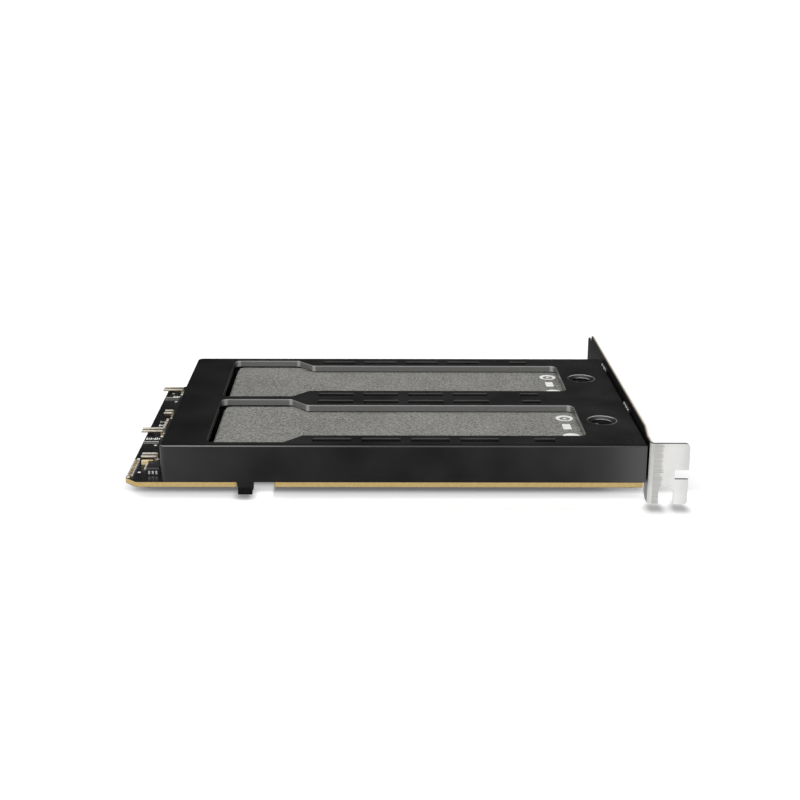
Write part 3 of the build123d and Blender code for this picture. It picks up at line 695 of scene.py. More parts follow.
        # Painted highlight on the front edge's rounding, stronger towards the left.
        bevel = up.near(self.bevel_tilt, *self.bevel_fade) * (along * -1.0).step(*self.bevel_facing)
        bevel = bevel * (y < self.inner_front)
        wall, wall_colour = self._walls(graph)
        outside = self._outside(graph, tone, bevel * (self.edge_highlight_share + left * self.edge_highlight_left_gain))
        roughness = self.roughness + drift.swing(self.roughness_drift) - wall * self.wall_polish
        roughness = roughness + bevel * (1.0 - left) * self.bevel_roughness
        painted = graph.blend(wall, outside, wall_colour)
        return graph.surface(
            {
                "Base Color": graph.blend(self._access_rings(graph), painted, self.glint),
                "Roughness": roughness.clamped(),
                "Specular IOR Level": self.specular,
                "Normal": graph.bump(grain * (1.0 - wall), self.grain_depth),
            }
        )


@dataclass(frozen=True)
class SolderMask:
    """The board: black mask over copper on its two faces, sandy glass cloth at its edge."""

    name: str
    mask: Colour
    pour: Colour
    cloth: Colour
    cloth_shade: Colour
    seam: Colour
    bottom: float
    skin: float = 0.035 * MM
    seam_height: float = 0.22 * MM
    seam_share: float = 0.8
    pours_per_metre: float = 140.0
    pour_span: Span = (0.47, 0.5)
    pour_height: float = 0.6
    track_scale: float = 260.0
    track_height: float = 0.4
    track_half: float = 0.05
    relief_depth: float = 0.015 * MM
    weave_per_metre: float = 1500.0
    weave_half: float = 0.2
    roughness: float = 0.34
    edge_roughness: float = 0.69
    specular: float = 0.4

    def material(self) -> bpy.types.Material:
        """Builds the finish.

        Returns:
            The finished material.
        """
        graph = Graph.of_material(self.name)
        _, _, z = graph.axes()
        edge = (z < -self.skin) * (z > self.bottom + self.skin)
        pour = graph.noise(self.pours_per_metre, detail=1.0).step(*self.pour_span)
        tracks = graph.wire(
            "ShaderNodeTexWave",
            {"wave_type": "BANDS", "bands_direction": "DIAGONAL"},
            {"Vector": graph.stretched((1.0, 1.0, 0.0)), "Scale": self.track_scale, "Distortion": 0.0},
        ).spread(self.track_half)
        relief = pour * self.pour_height + tracks * (1.0 - pour) * self.track_height
        weave = graph.noise(self.weave_per_metre).spread(self.weave_half)
        cloth = graph.blend(weave, self.cloth, self.cloth_shade)
        seam = 1.0 - z.step(self.bottom + 0.5 * self.seam_height, self.bottom + self.seam_height)
        cloth = graph.blend(seam * self.seam_share, cloth, self.seam)
        face = graph.blend(relief, self.mask, self.pour)
        return graph.surface(
            {
                "Base Color": graph.blend(edge, face, cloth),
                "Roughness": self.roughness + edge * (self.edge_roughness - self.roughness),
                "Specular IOR Level": self.specular,
                "Normal": graph.bump(relief * (1.0 - edge), self.relief_depth),
            }
        )


@dataclass(frozen=True)
class RolledSheet:
    """Plated sheet steel: rolling streaks, pale sheared edges, and a pressed band where the tab is bent. The
    inner face behind the tab and the faces that look up carry painted shade, apart from the pale sheared
    strip on the outer side, and the tab is darker towards its free end.
    """

    name: str
    dark: Colour
    light: Colour
    band: Colour
    sheared: Colour
    # Painted shade on the inner face and on the faces that look up.
    shade: Colour
    band_width: float
    free_end: float
    tab_depth: float = 1.2 * MM
    streaks_per_metre: float = 420.0
    streak_stretch: Place = (8.0, 1.0, 0.35)
    streak_depth: float = 0.008 * MM
    streak_share: float = 0.4
    clouds_per_metre: float = 120.0
    tone_half: float = 0.2
    end_length: float = 3.5 * MM
    end_share: float = 0.35
    upper_span: Span = (0.6, 0.9)
    burr_span: Span = (-0.6 * MM, -0.3 * MM)
    teeth_per_metre: float = 2300.0
    teeth_stretch: Place = (0.02, 0.02, 1.0)
    teeth_length: float = 3.0 * MM
    teeth_contrast: float = 1.2
    band_fade: float = 0.5 * MM
    band_start: float = 0.25 * MM
    band_share: float = 0.75
    inner_facing: float = -0.5
    turned_span: Span = (0.12, 0.45)
    roughness: float = 0.38
    roughness_drift: float = 0.1
    sheared_roughness: float = 0.2
    sheared_plating: float = 0.15
    turned_plating: float = 0.25

    def _band(self, graph: Graph) -> Wire:
        """Finds the pressed band beside the tab's bend, whose free side is ragged.

        Args:
            graph: The material's graph.

        Returns:
            The share of the band's colour that shows.
        """
        x, y, _ = graph.axes()
        stretched = graph.stretched(self.teeth_stretch)
        teeth = graph.noise(self.teeth_per_metre, detail=1.0, vector=stretched) - 0.5
        rim = x - teeth * self.teeth_length
        band = 1.0 - rim.step(self.band_width - self.band_fade, self.band_width + self.band_fade)
        band = band * (x > self.band_start) * (1.0 - (y > self.tab_depth))
        return (band * (self.band_share + teeth * self.teeth_contrast)).clamped()

    def material(self) -> bpy.types.Material:
        """Builds the finish.

        Returns:
            The finished material.
        """
        graph = Graph.of_material(self.name)
        x, y, _ = graph.axes()
        across, _, up = graph.facing()
        stretched = graph.stretched(self.streak_stretch)
        streaks = graph.noise(self.streaks_per_metre, detail=4.0, vector=stretched)
        cloud = graph.noise(self.clouds_per_metre)
        tone = (streaks * self.streak_share + cloud * (1.0 - self.streak_share)).spread(self.tone_half)
        behind = y > self.tab_depth
        free_end = x.step(self.free_end - self.end_length, self.free_end)
        sheet = graph.blend(tone, self.dark, self.light)
        # Darker towards the tab's free end.
        sheet = graph.blend(free_end * self.end_share, sheet, self.band)
        # Painted shade on the inner face behind the tab.
        sheet = graph.blend((across < self.inner_facing) * behind, sheet, self.shade)
        upper = up.step(*self.upper_span)
        burr = x.step(*self.burr_span) * behind
        # Painted shade on the faces that look up, apart from the pale sheared strip.
        sheet = graph.blend(upper, sheet, graph.blend(burr, self.shade, self.sheared))
        edge = upper * behind
        turned = (across * -1.0).step(*self.turned_span) * (1.0 - behind)
        roughness = self.roughness + streaks.swing(self.roughness_drift) + edge * self.sheared_roughness
        plating = 1.0 - edge * (1.0 - self.sheared_plating) - turned * (1.0 - self.turned_plating)
        return graph.surface(
            {
                "Base Color": graph.blend(self._band(graph), sheet, self.band),
                "Roughness": roughness.clamped(),
                "Metallic": plating.clamped(),
                "Normal": graph.bump(streaks, self.streak_depth),
            }
        )


@dataclass(frozen=True)
class StudioFloor:
    """The pale floor: white to the camera where it is lit, with the card's soft shadow.

    Gloss sees reflector cards on it: a dim one along the card's front, bright ones past its two ends.
    Painted light, for the camera alone, brightens the floor under the card's front edge, through the notch
    beside the cover's leg and farther back. Painted shadows darken the floor at the feet that come near it:
    the leg and the tab's two lobes.
    """

    name: str = "studio_floor"
    colour: Colour = (0.92, 0.92, 0.92)
    lift: float = 0.12
    under_lift: float = 0.45
    under_y: float = 4.0 * MM
    under_fade: Span = (3.0 * MM, 7.5 * MM)
    far_lift: float = 0.12
    far_span: Span = (20.0 * MM, 40.0 * MM)
    notch_lift: float = 0.45
    notch_place: tuple[float, float] = (-113.0 * MM, 10.0 * MM)
    notch_fade_x: Span = (2.8 * MM, 4.0 * MM)
    notch_fade_y: Span = (2.0 * MM, 9.0 * MM)
    foot_shade: float = 0.62
    foot_places: tuple[tuple[float, float], ...] = (
        (-117.6 * MM, 7.0 * MM),
        (0.6 * MM, -2.5 * MM),
        (7.6 * MM, -2.5 * MM),
    )
    foot_fade_x: Span = (0.8 * MM, 4.6 * MM)
    foot_fade_y: Span = (1.0 * MM, 7.0 * MM)
    dim: float = 0.13
    left_gain: float = 0.95
    left_span: Span = (-160.0 * MM, -115.0 * MM)
    right_gain: float = 1.35
    right_span: Span = (-30.0 * MM, 10.0 * MM)
    back_share: float = 0.25
    back_span: Span = (90.0 * MM, 130.0 * MM)

    def _feet(self, graph: Graph) -> Wire:
        """Finds the painted shadows under the feet.

        Args:
            graph: The material's graph.

        Returns:
            The share of the light that the painted shadows keep back.
        """
        x, y, _ = graph.axes()
        feet = 0.0
        for foot_x, foot_y in self.foot_places:
            feet = x.near(foot_x, *self.foot_fade_x) * y.near(foot_y, *self.foot_fade_y) + feet
        return feet.clamped() * self.foot_shade

    def _lit(self, graph: Graph) -> Wire:
        """Builds what the camera and the soft light see: a matt floor with painted shadows at the feet, and
        a glow for the camera with painted light under the card's front edge, through the notch and farther
        back.

        Args:
            graph: The material's graph.

        Returns:
            The shader.
        """
        x, y, _ = graph.axes()
        feet = self._feet(graph)
        # Painted light under the card's front edge, through the notch and farther back.
        notch_x, notch_y = self.notch_place
        notch = x.near(notch_x, *self.notch_fade_x) * y.near(notch_y, *self.notch_fade_y) * self.notch_lift
        under = y.near(self.under_y, *self.under_fade) * self.under_lift
        far = y.step(*self.far_span) * self.far_lift
        lift = graph.light_path("Is Camera Ray") * (under + far + notch + self.lift) * (1.0 - feet)
        shaded = graph.blend(feet, self.colour, BLACK)
        plain = graph.wire("ShaderNodeBsdfDiffuse", None, {"Color": shaded})
        glow = graph.wire("ShaderNodeEmission", None, {"Color": WHITE, "Strength": lift})
        return graph.wire("ShaderNodeAddShader", None, {0: plain, 1: glow})

    def _cards(self, graph: Graph) -> Wire:
        """Builds what gloss sees: the reflector cards, weaker behind the card.

        Args:
            graph: The material's graph.

        Returns:
            The shader.
        """
        x, y, _ = graph.axes()
        left = (1.0 - x.step(*self.left_span)) * self.left_gain
        right = x.step(*self.right_span) * self.right_gain
        front = 1.0 - y.step(*self.back_span) * (1.0 - self.back_share)
        strength = (left + right + self.dim) * front
        return graph.wire("ShaderNodeEmission", None, {"Color": WHITE, "Strength": strength})

    def material(self) -> bpy.types.Material:
        """Builds the finish.

        Returns:
            The finished material.
        """
        graph = Graph.of_material(self.name)
        sockets = {0: graph.light_path("Is Glossy Ray"), 1: self._lit(graph), 2: self._cards(graph)}
        both = graph.wire("ShaderNodeMixShader", None, sockets)
        graph.node("ShaderNodeOutputMaterial", None, {"Surface": both})
        return graph.owner


# Mesh helpers

# Vertices closer together than this, in millimetres, become one
WELD = 1e-5


class Mesh:
    """A bmesh in millimetres that becomes one piece in metres."""

    def __init__(self, name: str) -> None:
        """Starts an empty mesh.

        Args:
            name: The piece's name.
        """
        self.name = name
        self.bm = bmesh.new()

    def block(self, low: Sequence[float], high: Sequence[float], bevel: float = 0.0) -> None:
        """Adds a block between two corners.

        Args:
            low: The lowest corner.
            high: The highest corner.
            bevel: The size of its rounded edges.
        """
        low_corner, high_corner = Vector(low), Vector(high)
        size = high_corner - low_corner
        place = Matrix.Translation((low_corner + high_corner) / 2) @ Matrix.Diagonal((*size, 1.0))
        made = bmesh.ops.create_cube(self.bm, size=1.0, matrix=place)
        if bevel:
            edges = {edge for vertex in made["verts"] for edge in vertex.link_edges}
            bmesh.ops.bevel(
                self.bm,
                geom=list(edges),
                offset=bevel,
                segments=2,
                profile=0.5,
                affect="EDGES",
                material=-1,
                clamp_overlap=True,
            )

    def ring(
        self,
        centre: Sequence[float],
        outer: float,
        inner: float,
        thickness: float,
        shift: float = 0.0,
        steps: int = 40,
    ) -> None:
        """Adds a flat ring that stands on a level plane.

        Args:
            centre: The middle of its underside.
            outer: Its outer radius.
            inner: Its inner radius.
            thickness: Its height.
            shift: How far its hole lies off centre towards -Y.
            steps: The number of its sides.
        """
        middle = Vector(centre)
        corners = ((inner, 0.0), (outer, 0.0), (outer, thickness), (inner, thickness))
        profile = [self.bm.verts.new(middle + Vector((radius, 0.0, height))) for radius, height in corners]
        edges = [self.bm.edges.new((profile[index], profile[(index + 1) % 4])) for index in range(4)]
        known = set(self.bm.verts) - set(profile)
        bmesh.ops.spin(
            self.bm,
            geom=profile + edges,
            cent=middle,
            axis=(0.0, 0.0, 1.0),
            angle=math.tau,
            steps=steps,
            use_merge=True,
        )
        middle_radius = (outer + inner) / 2
        hole = [
            vertex
            for vertex in self.bm.verts
            if vertex not in known and (vertex.co - middle).xy.length < middle_radius
        ]
        bmesh.ops.translate(self.bm, vec=(0.0, -shift, 0.0), verts=hole)

    def cone(
        self, centre: Sequence[float], low_radius: float, high_radius: float, height: float, sides: int = 20
    ) -> None:
        """Adds a closed cone or drum on the Z axis.

        Args:
            centre: The middle of its lower end.
            low_radius: The radius of its lower end.
            high_radius: The radius of its upper end.
            height: Its height.
            sides: The number of its sides.
        """
        place = Matrix.Translation(Vector(centre) + Vector((0.0, 0.0, height / 2)))
        bmesh.ops.create_cone(
            self.bm,
            cap_ends=True,
            segments=sides,
            radius1=low_radius,
            radius2=high_radius,
            depth=height,
            matrix=place,
        )

    def finish(self, body: Body, material: bpy.types.Material, smooth: bool = False) -> bpy.types.Object:
        """Turns the mesh into a piece that rides on a body.

        Args:
            body: The body that it moves with.
            material: Its finish.
            smooth: Whether its faces are shaded smooth.

        Returns:
            The piece.
        """
        bmesh.ops.remove_doubles(self.bm, verts=self.bm.verts, dist=WELD)
        bmesh.ops.recalc_face_normals(self.bm, faces=self.bm.faces)
        bmesh.ops.scale(self.bm, vec=(MM, MM, MM), verts=self.bm.verts)
        data = bpy.data.meshes.new(self.name)
        self.bm.to_mesh(data)
        self.bm.free()
        data.materials.append(material)
        if smooth:
            data.shade_smooth()
        else:
            data.shade_flat()
        piece = bpy.data.objects.new(self.name, data)
        bpy.context.scene.collection.objects.link(piece)
        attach(piece, body.value)
        LOG.info("%s: %d faces on %s", self.name, len(data.polygons), body.value)
        return piece


# Finishes of this card


def grey(level: float) -> Colour:
    """Gives a neutral grey."""
    return (level, level, level)


TRAY_METAL = Speckled(
    "blasted_tray",
    dark=(0.115, 0.113, 0.106),
    light=(0.45, 0.445, 0.418),
    grain_per_metre=1500.0,
    grain_depth=0.05 * MM,
    roughness=0.5,
    metallic=0.3,
    drift_per_metre=60.0,
    mottling=0.9,
)
LEVER_PLASTIC = Speckled(
    "lever_plastic",
    dark=grey(0.011),
    light=grey(0.019),
    grain_per_metre=2600.0,
    grain_depth=0.02 * MM,
    roughness=0.45,
    specular=0.3,
)
SOCKET_PLASTIC = Speckled(
    "socket_plastic",
    dark=grey(0.010),
    light=grey(0.02),
    grain_per_metre=3000.0,
    grain_depth=0.01 * MM,
    roughness=0.4,
    specular=0.3,
)
CHIP_PLASTIC = Speckled(
    "chip_plastic",
    dark=(0.013, 0.013, 0.014),
    light=(0.028, 0.028, 0.029),
    grain_per_metre=4200.0,
    grain_depth=0.01 * MM,
    roughness=0.5,
    specular=0.35,
)
GOLD = Speckled(
    "gold_plating",
    dark=(0.66, 0.52, 0.33),
    light=(0.93, 0.83, 0.64),
    grain_per_metre=900.0,
    grain_depth=0.004 * MM,
    roughness=0.3,
    metallic=0.55,
)
PINS = PinGold(
    "pin_gold",
    dark=(0.40, 0.30, 0.17),
    light=(1.0, 0.97, 0.86),
    under=(0.06, 0.04, 0.02),
    level_low=1.36 * MM,
    level_high=1.70 * MM,
)
BLACK_COAT = Speckled(
    "black_coat",
    dark=grey(0.009),
    light=grey(0.018),
    grain_per_metre=3200.0,
    grain_depth=0.03 * MM,
    roughness=0.55,
    specular=0.35,
)
OXIDE = FleckedOxide(
    "black_oxide",
    oxide=grey(0.018),
    steel=(0.85, 0.85, 0.84),
    flecks_per_metre=800.0,
    roughness=0.38,
)
# Its flecks, within a short reach of one X, are a painted glint on the lock screw's head.
LOCK_OXIDE = FleckedOxide(
    "lock_oxide",
    oxide=grey(0.010),
    steel=(0.95, 0.95, 0.94),
    flecks_per_metre=900.0,
    roughness=0.38,
    fleck_level=0.30,
    fleck_x=-12.2 * MM,
    fleck_reach=0.8 * MM,
)
FASTENER = Speckled(
    "fastener_steel",
    dark=grey(0.38),
    light=(0.62, 0.62, 0.61),
    grain_per_metre=900.0,
    grain_depth=0.01 * MM,
    roughness=0.33,
    metallic=1.0,
)
SPRING = Speckled(
    "spring_steel",
    dark=(0.75, 0.75, 0.72),
    light=(0.92, 0.92, 0.90),
    grain_per_metre=700.0,
    grain_depth=0.006 * MM,
    roughness=0.25,
    metallic=0.6,
)
TIN = Speckled(
    "tinned_ends",
    dark=(0.66, 0.66, 0.64),
    light=(0.90, 0.90, 0.88),
    grain_per_metre=1500.0,
    grain_depth=0.02 * MM,
    roughness=0.35,
    metallic=0.5,
)
CERAMIC = Speckled(
    "ceramic_body",
    dark=(0.16, 0.10, 0.05),
    light=(0.62, 0.46, 0.27),
    grain_per_metre=2500.0,
    grain_depth=0.008 * MM,
    roughness=0.5,
    drift_per_metre=420.0,
    mottling=0.25,
)
FUSE = Speckled(
    "fuse_body",
    dark=(0.62, 0.47, 0.22),
    light=(0.86, 0.72, 0.45),
    grain_per_metre=1800.0,
    grain_depth=0.01 * MM,
    roughness=0.45,
)
POWDER = Speckled(
    "pressed_powder",
    dark=(0.06, 0.06, 0.065),
    light=(0.12, 0.12, 0.125),
    grain_per_metre=5000.0,
    grain_depth=0.03 * MM,
    roughness=0.65,
)
RESIN = Speckled(
    "bulk_resin",
    dark=(0.46, 0.31, 0.11),
    light=(0.62, 0.46, 0.20),
    grain_per_metre=1800.0,
    grain_depth=0.01 * MM,
    roughness=0.45,
)
SILICONE = Speckled(
    "thermal_silicone",
    dark=(0.20, 0.24, 0.28),
    light=(0.30, 0.35, 0.40),
    grain_per_metre=1400.0,
    grain_depth=0.03 * MM,
    roughness=0.7,
)
PRINT = Speckled(
    "white_print",
    dark=(0.72, 0.72, 0.70),
    light=(0.90, 0.90, 0.88),
    grain_per_metre=3000.0,
    grain_depth=0.006 * MM,
    roughness=0.6,
)
FADED_PRINT = Speckled(
    "faded_print",
    dark=grey(0.26),
    light=(0.42, 0.42, 0.41),
    grain_per_metre=3000.0,
    grain_depth=0.006 * MM,
    roughness=0.6,
)

FINISH_OF_NODE: dict[str, Any] = {
    "edge_contacts": GOLD,
    "board_inserts": FASTENER,
    "bracket_screws": FASTENER,
    "cover_screws": OXIDE,
    "drive_socket": SOCKET_PLASTIC,
    "earthing_spring": SPRING,
    "header_pins": PINS,
    "header_carrier": SOCKET_PLASTIC,
    "strip_block": CHIP_PLASTIC,
    "strip_chip": CHIP_PLASTIC,
    "strip_chip_leads": TIN,
    "strip_parts": CERAMIC,
    "coupling_parts": CERAMIC,
    "inductor": POWDER,
    "regulator": CHIP_PLASTIC,
    "bulk_parts": RESIN,
    "tray_base": TRAY_METAL,
    "tray_lid": TRAY_METAL,
    "thermal_pad": SILICONE,
    "drive_screw": FASTENER,
    "tray_bezel": BLACK_COAT,
    "bezel_screws": FASTENER,
    "lever": LEVER_PLASTIC,
    "lever_pin": FASTENER,
    "lock_screw": LOCK_OXIDE,
}


def box_of(node: str) -> tuple[Vector, Vector]:
    """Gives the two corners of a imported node's box in millimetres."""
    low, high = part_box(node)
    return low / MM, high / MM


def bay_middle(bay: Bay) -> float:
    """Gives a bay's middle in Y, in millimetres, from its tray's lid."""
    low, high = box_of(f"tray_lid_{bay.value}")
    return (low.y + high.y) / 2


@dataclass(frozen=True)
class PlacedFinishes:
    """The finishes that change along a piece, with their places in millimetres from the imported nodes."""

    solid_margin: float = 2.0
    right_margin: float = 15.8
    wide_length: float = 42.0
    window_half: float = 15.0
    lip_depth: float = 2.02
    leg_drop: float = 0.13
    # Places of the painted glints at the walls' corners.
    corners_from_left: tuple[float, ...] = (14.5, 35.2, 40.7)
    corner_from_right: float = 17.6
    lock_head_radius: float = 2.6
    dish_depth: float = 0.81
    band_width: float = 2.8

    def cover(self) -> MouldedCover:
        """Makes the cover's finish.

        Returns:
            The finish, with its places from the cover, the trays' lids, a lock screw and the board.
        """
        low, high = box_of("cover")
        front, back = (bay_middle(bay) for bay in Bay)
        corners_x = [low.x + place for place in self.corners_from_left] + [high.x - self.corner_from_right]
        return MouldedCover(
            "moulded_cover",
            dark=(0.0070, 0.0070, 0.0071),
            light=(0.0140, 0.0140, 0.0141),
            # Painted light: lit walls, highlight lines, glints and the sheen.
            lit_reveal=(0.126, 0.126, 0.123),
            rim=(0.22, 0.22, 0.215),
            glint=(0.42, 0.42, 0.41),
            sheen=grey(0.045),
            top=high.z * MM,
            inner_left=(low.x + self.solid_margin) * MM,
            inner_right=(high.x - self.right_margin) * MM,
            inner_front=(low.y + self.solid_margin) * MM,
            inner_back=(high.y - self.solid_margin) * MM,
            middle=(front + back) / 2 * MM,
            half_pitch=(back - front) / 2 * MM,
            window_half=self.window_half * MM,
            wide_end=(low.x + self.wide_length) * MM,
            lip_bottom=(high.z - self.lip_depth) * MM,
            leg_top=(box_of("board")[0].z - self.leg_drop) * MM,
            corner_places=tuple(place * MM for place in corners_x),
            access_x=(box_of("lock_screw_front")[0].x + self.lock_head_radius) * MM,
            dish_bottom=(high.z - self.dish_depth) * MM,
        )

    def board(self) -> SolderMask:
        """Makes the board's finish.

        Returns:
            The finish, with its underside's height from the board.
        """
        return SolderMask(
            "board_mask",
            mask=(0.0070, 0.0073, 0.0077),
            pour=(0.0120, 0.0122, 0.0125),
            cloth=(0.49, 0.36, 0.145),
            cloth_shade=(0.43, 0.305, 0.112),
            seam=(0.20, 0.18, 0.14),
            bottom=box_of("board")[0].z * MM,
        )

    def bracket(self) -> RolledSheet:
        """Makes the bracket's finish.

        Returns:
            The finish, with the tab's free end from the bracket.
        """
        return RolledSheet(
            "plated_sheet",
            dark=(0.585, 0.585, 0.575),
            light=(0.69, 0.69, 0.68),
            band=(0.38, 0.37, 0.355),
            sheared=(0.72, 0.66, 0.54),
            shade=(0.075, 0.072, 0.068),
            band_width=self.band_width * MM,
            free_end=box_of("bracket")[1].x * MM,
        )


class Palette:
    """Builds each finish once and hands it out by name."""

    def __init__(self) -> None:
        """Starts with no material built."""
        self._built: dict[str, bpy.types.Material] = {}

    def get(self, finish: Any) -> bpy.types.Material:
        """Gives a finish's material.

        Args:
            finish: One of the finishes above.

        Returns:
            Its material, built the first time it is asked for.
        """
        if finish.name not in self._built:
            self._built[finish.name] = finish.material()
        return self._built[finish.name]


class PackedNodes:
    """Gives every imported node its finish."""

    def __init__(self, palette: Palette) -> None:
        """Takes the finishes by node, with those that have their places in the frame.

        Args:
            palette: The palette that builds the materials.
        """
        placed = PlacedFinishes()
        self.palette = palette
        self.finishes = {
            **FINISH_OF_NODE,
            "board": placed.board(),
            "bracket": placed.bracket(),
            "cover": placed.cover(),
        }

    def finish_of(self, node: str) -> Any:
        """Finds a node's finish by its name, or else by its name without its number or side."""
        return self.finishes.get(node) or self.finishes[node.rsplit("_", 1)[0]]

    def dress(self, nodes: dict[str, bpy.types.Object]) -> None:
        """Puts the finishes on.

        Args:
            nodes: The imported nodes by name.
        """
        for name, node in nodes.items():
            node.data.materials.clear()
            node.data.materials.append(self.palette.get(self.finish_of(name)))
            LOG.info("%s: %s", name, self.finish_of(name).name)


@dataclass
class TrayPrint:
    """The white marks printed on a tray's lid: two rings, one round a small triangle, and two bars."""

    palette: Palette
    from_end: float = 4.9
    thickness: float = 0.03
    ring_outer: float = 2.7
    far_hole: float = 1.7
    near_hole: float = 0.9
    hole_shift: float = 0.45
    triangle_radius: float = 0.95
    far_offset: float = 8.6
    near_offset: float = -8.3
    bars_offset: float = 0.5
    bars_shift: float = -0.3
    bars_half_length: float = 2.4
    bars_half_width: float = 1.25
    bars_gap: float = 0.2

    def build(self, bay: Bay) -> bpy.types.Object:
        """Builds the marks of one tray.

        Args:
            bay: The bay whose tray carries them.

        Returns:
            The marks as one piece.
        """
        mesh = Mesh(f"tray_print_{bay.value}")
        _, high = box_of(f"tray_lid_{bay.value}")
        x = high.x - self.from_end
        bay_y = bay_middle(bay)
        far = (x, bay_y + self.far_offset, high.z)
        near = (x, bay_y + self.near_offset, high.z)
        centre = (x, bay_y + self.far_offset - self.hole_shift, high.z)
        mesh.ring(far, self.ring_outer, self.far_hole, self.thickness, self.hole_shift)
        mesh.ring(near, self.ring_outer, self.near_hole, self.thickness, self.hole_shift)
        mesh.cone(centre, self.triangle_radius, self.triangle_radius, self.thickness, sides=3)
        left = x + self.bars_shift - self.bars_half_width
        right = x + self.bars_shift + self.bars_half_width
        middle = bay_y + self.bars_offset
        for way in (-1, 1):
            ends = sorted((middle + way * self.bars_gap / 2, middle + way * self.bars_half_length))
            mesh.block((left, ends[0], high.z), (right, ends[1], high.z + self.thickness))
        return mesh.finish(TRAY_OF_BAY[bay], self.palette.get(PRINT))


@dataclass
class BoardPrint:
    """White lines, dots and short strokes printed on the board's open strip, with no lettering."""

    palette: Palette
    thickness: float = 0.03
    line_width: float = 0.38
    line_left: float = -151.9
    line_right: float = -147.2
    bright_rows: tuple[float, ...] = (81.8, 36.3)
    faded_rows: tuple[float, ...] = (79.4, 34.9)
    stroke_width: float = 0.42
    stroke_pitch: float = 0.64
    stroke_lengths: tuple[float, ...] = (1.9, 1.1, 1.6, 0.8, 2.0)
    bright_strokes: tuple[tuple[float, float, int], ...] = (
        (-151.6, 39.1, 7),
        (-149.6, 52.2, 3),
        (-149.4, 82.9, 4),
    )
    faded_strokes: tuple[tuple[float, float, int], ...] = ((-149.8, 55.6, 3), (-150.6, 24.6, 4))
    dot_places: tuple[tuple[float, float], ...] = (
        (-147.7, 77.3),
        (-147.8, 33.0),
        (-149.9, 86.6),
        (-147.4, 46.4),
        (-148.6, 47.2),
        (-151.4, 5.4),
        (-151.0, 20.8),
        (-148.9, 9.4),
    )
    dot_half: float = 0.42

    def strokes(self, mesh: Mesh, rows: Sequence[tuple[float, float, int]]) -> None:
        """Adds rows of short strokes of uneven length.

        Args:
            mesh: The mesh that takes them.
            rows: For each row its left end, its middle in Y and its number of strokes.
        """
        for left, row, count in rows:
            for index in range(count):
                x = left + index * self.stroke_pitch
                half = self.stroke_lengths[index % len(self.stroke_lengths)] / 2
                mesh.block((x, row - half, 0.0), (x + self.stroke_width, row + half, self.thickness))

    def lines(self, mesh: Mesh, rows: Sequence[float]) -> None:
        """Adds thin lines across the strip.

        Args:
            mesh: The mesh that takes them.
            rows: The middle of each line in Y.
        """
        half = self.line_width / 2
        for row in rows:
            mesh.block((self.line_left, row - half, 0.0), (self.line_right, row + half, self.thickness))

    def build(self) -> None:
        """Builds the bright marks as one piece and the faded ones as another."""
        bright = Mesh("board_print")
        self.lines(bright, self.bright_rows)
        self.strokes(bright, self.bright_strokes)
        half = self.dot_half
        for x, y in self.dot_places:
            bright.block((x - half, y - half, 0.0), (x + half, y + half, self.thickness))
        bright.finish(Body.CARD, self.palette.get(PRINT))
        faded = Mesh("board_print_faded")
        self.lines(faded, self.faded_rows)
        self.strokes(faded, self.faded_strokes)
        faded.finish(Body.CARD, self.palette.get(FADED_PRINT))


@dataclass
class TinnedEnds:
    """Tinned end caps over both ends of each small two-ended part in a row."""

    palette: Palette
    width: float = 0.8
    cap: float = 0.3
    proud: float = 0.03
    bevel: float = 0.06

    def build(self, name: str, node: str, count: int, row: Row) -> bpy.types.Object:
        """Builds the caps of one row of parts, which lie across the row.

        Args:
            name: The new piece's name.
            node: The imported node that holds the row.
            count: The number of parts in the row.
            row: The axis that the row runs along.

        Returns:
            The caps as one piece.
        """
        low, high = box_of(node)
        along = row.value
        across = 1 - along
        pitch = (high[along] - low[along] - self.width) / (count - 1)
        mesh = Mesh(name)
        for index in range(count):
            for start in (low[across], high[across] - self.cap):
                corner = Vector((0.0, 0.0, 0.0))
                corner[along] = low[along] + index * pitch
                corner[across] = start
                size = Vector((0.0, 0.0, high.z + self.proud))
                size[along] = self.width
                size[across] = self.cap
                margin = Vector((self.proud, self.proud, 0.0))
                mesh.block(corner - margin, corner + size + margin, self.bevel)
        return mesh.finish(Body.CARD, self.palette.get(TIN))


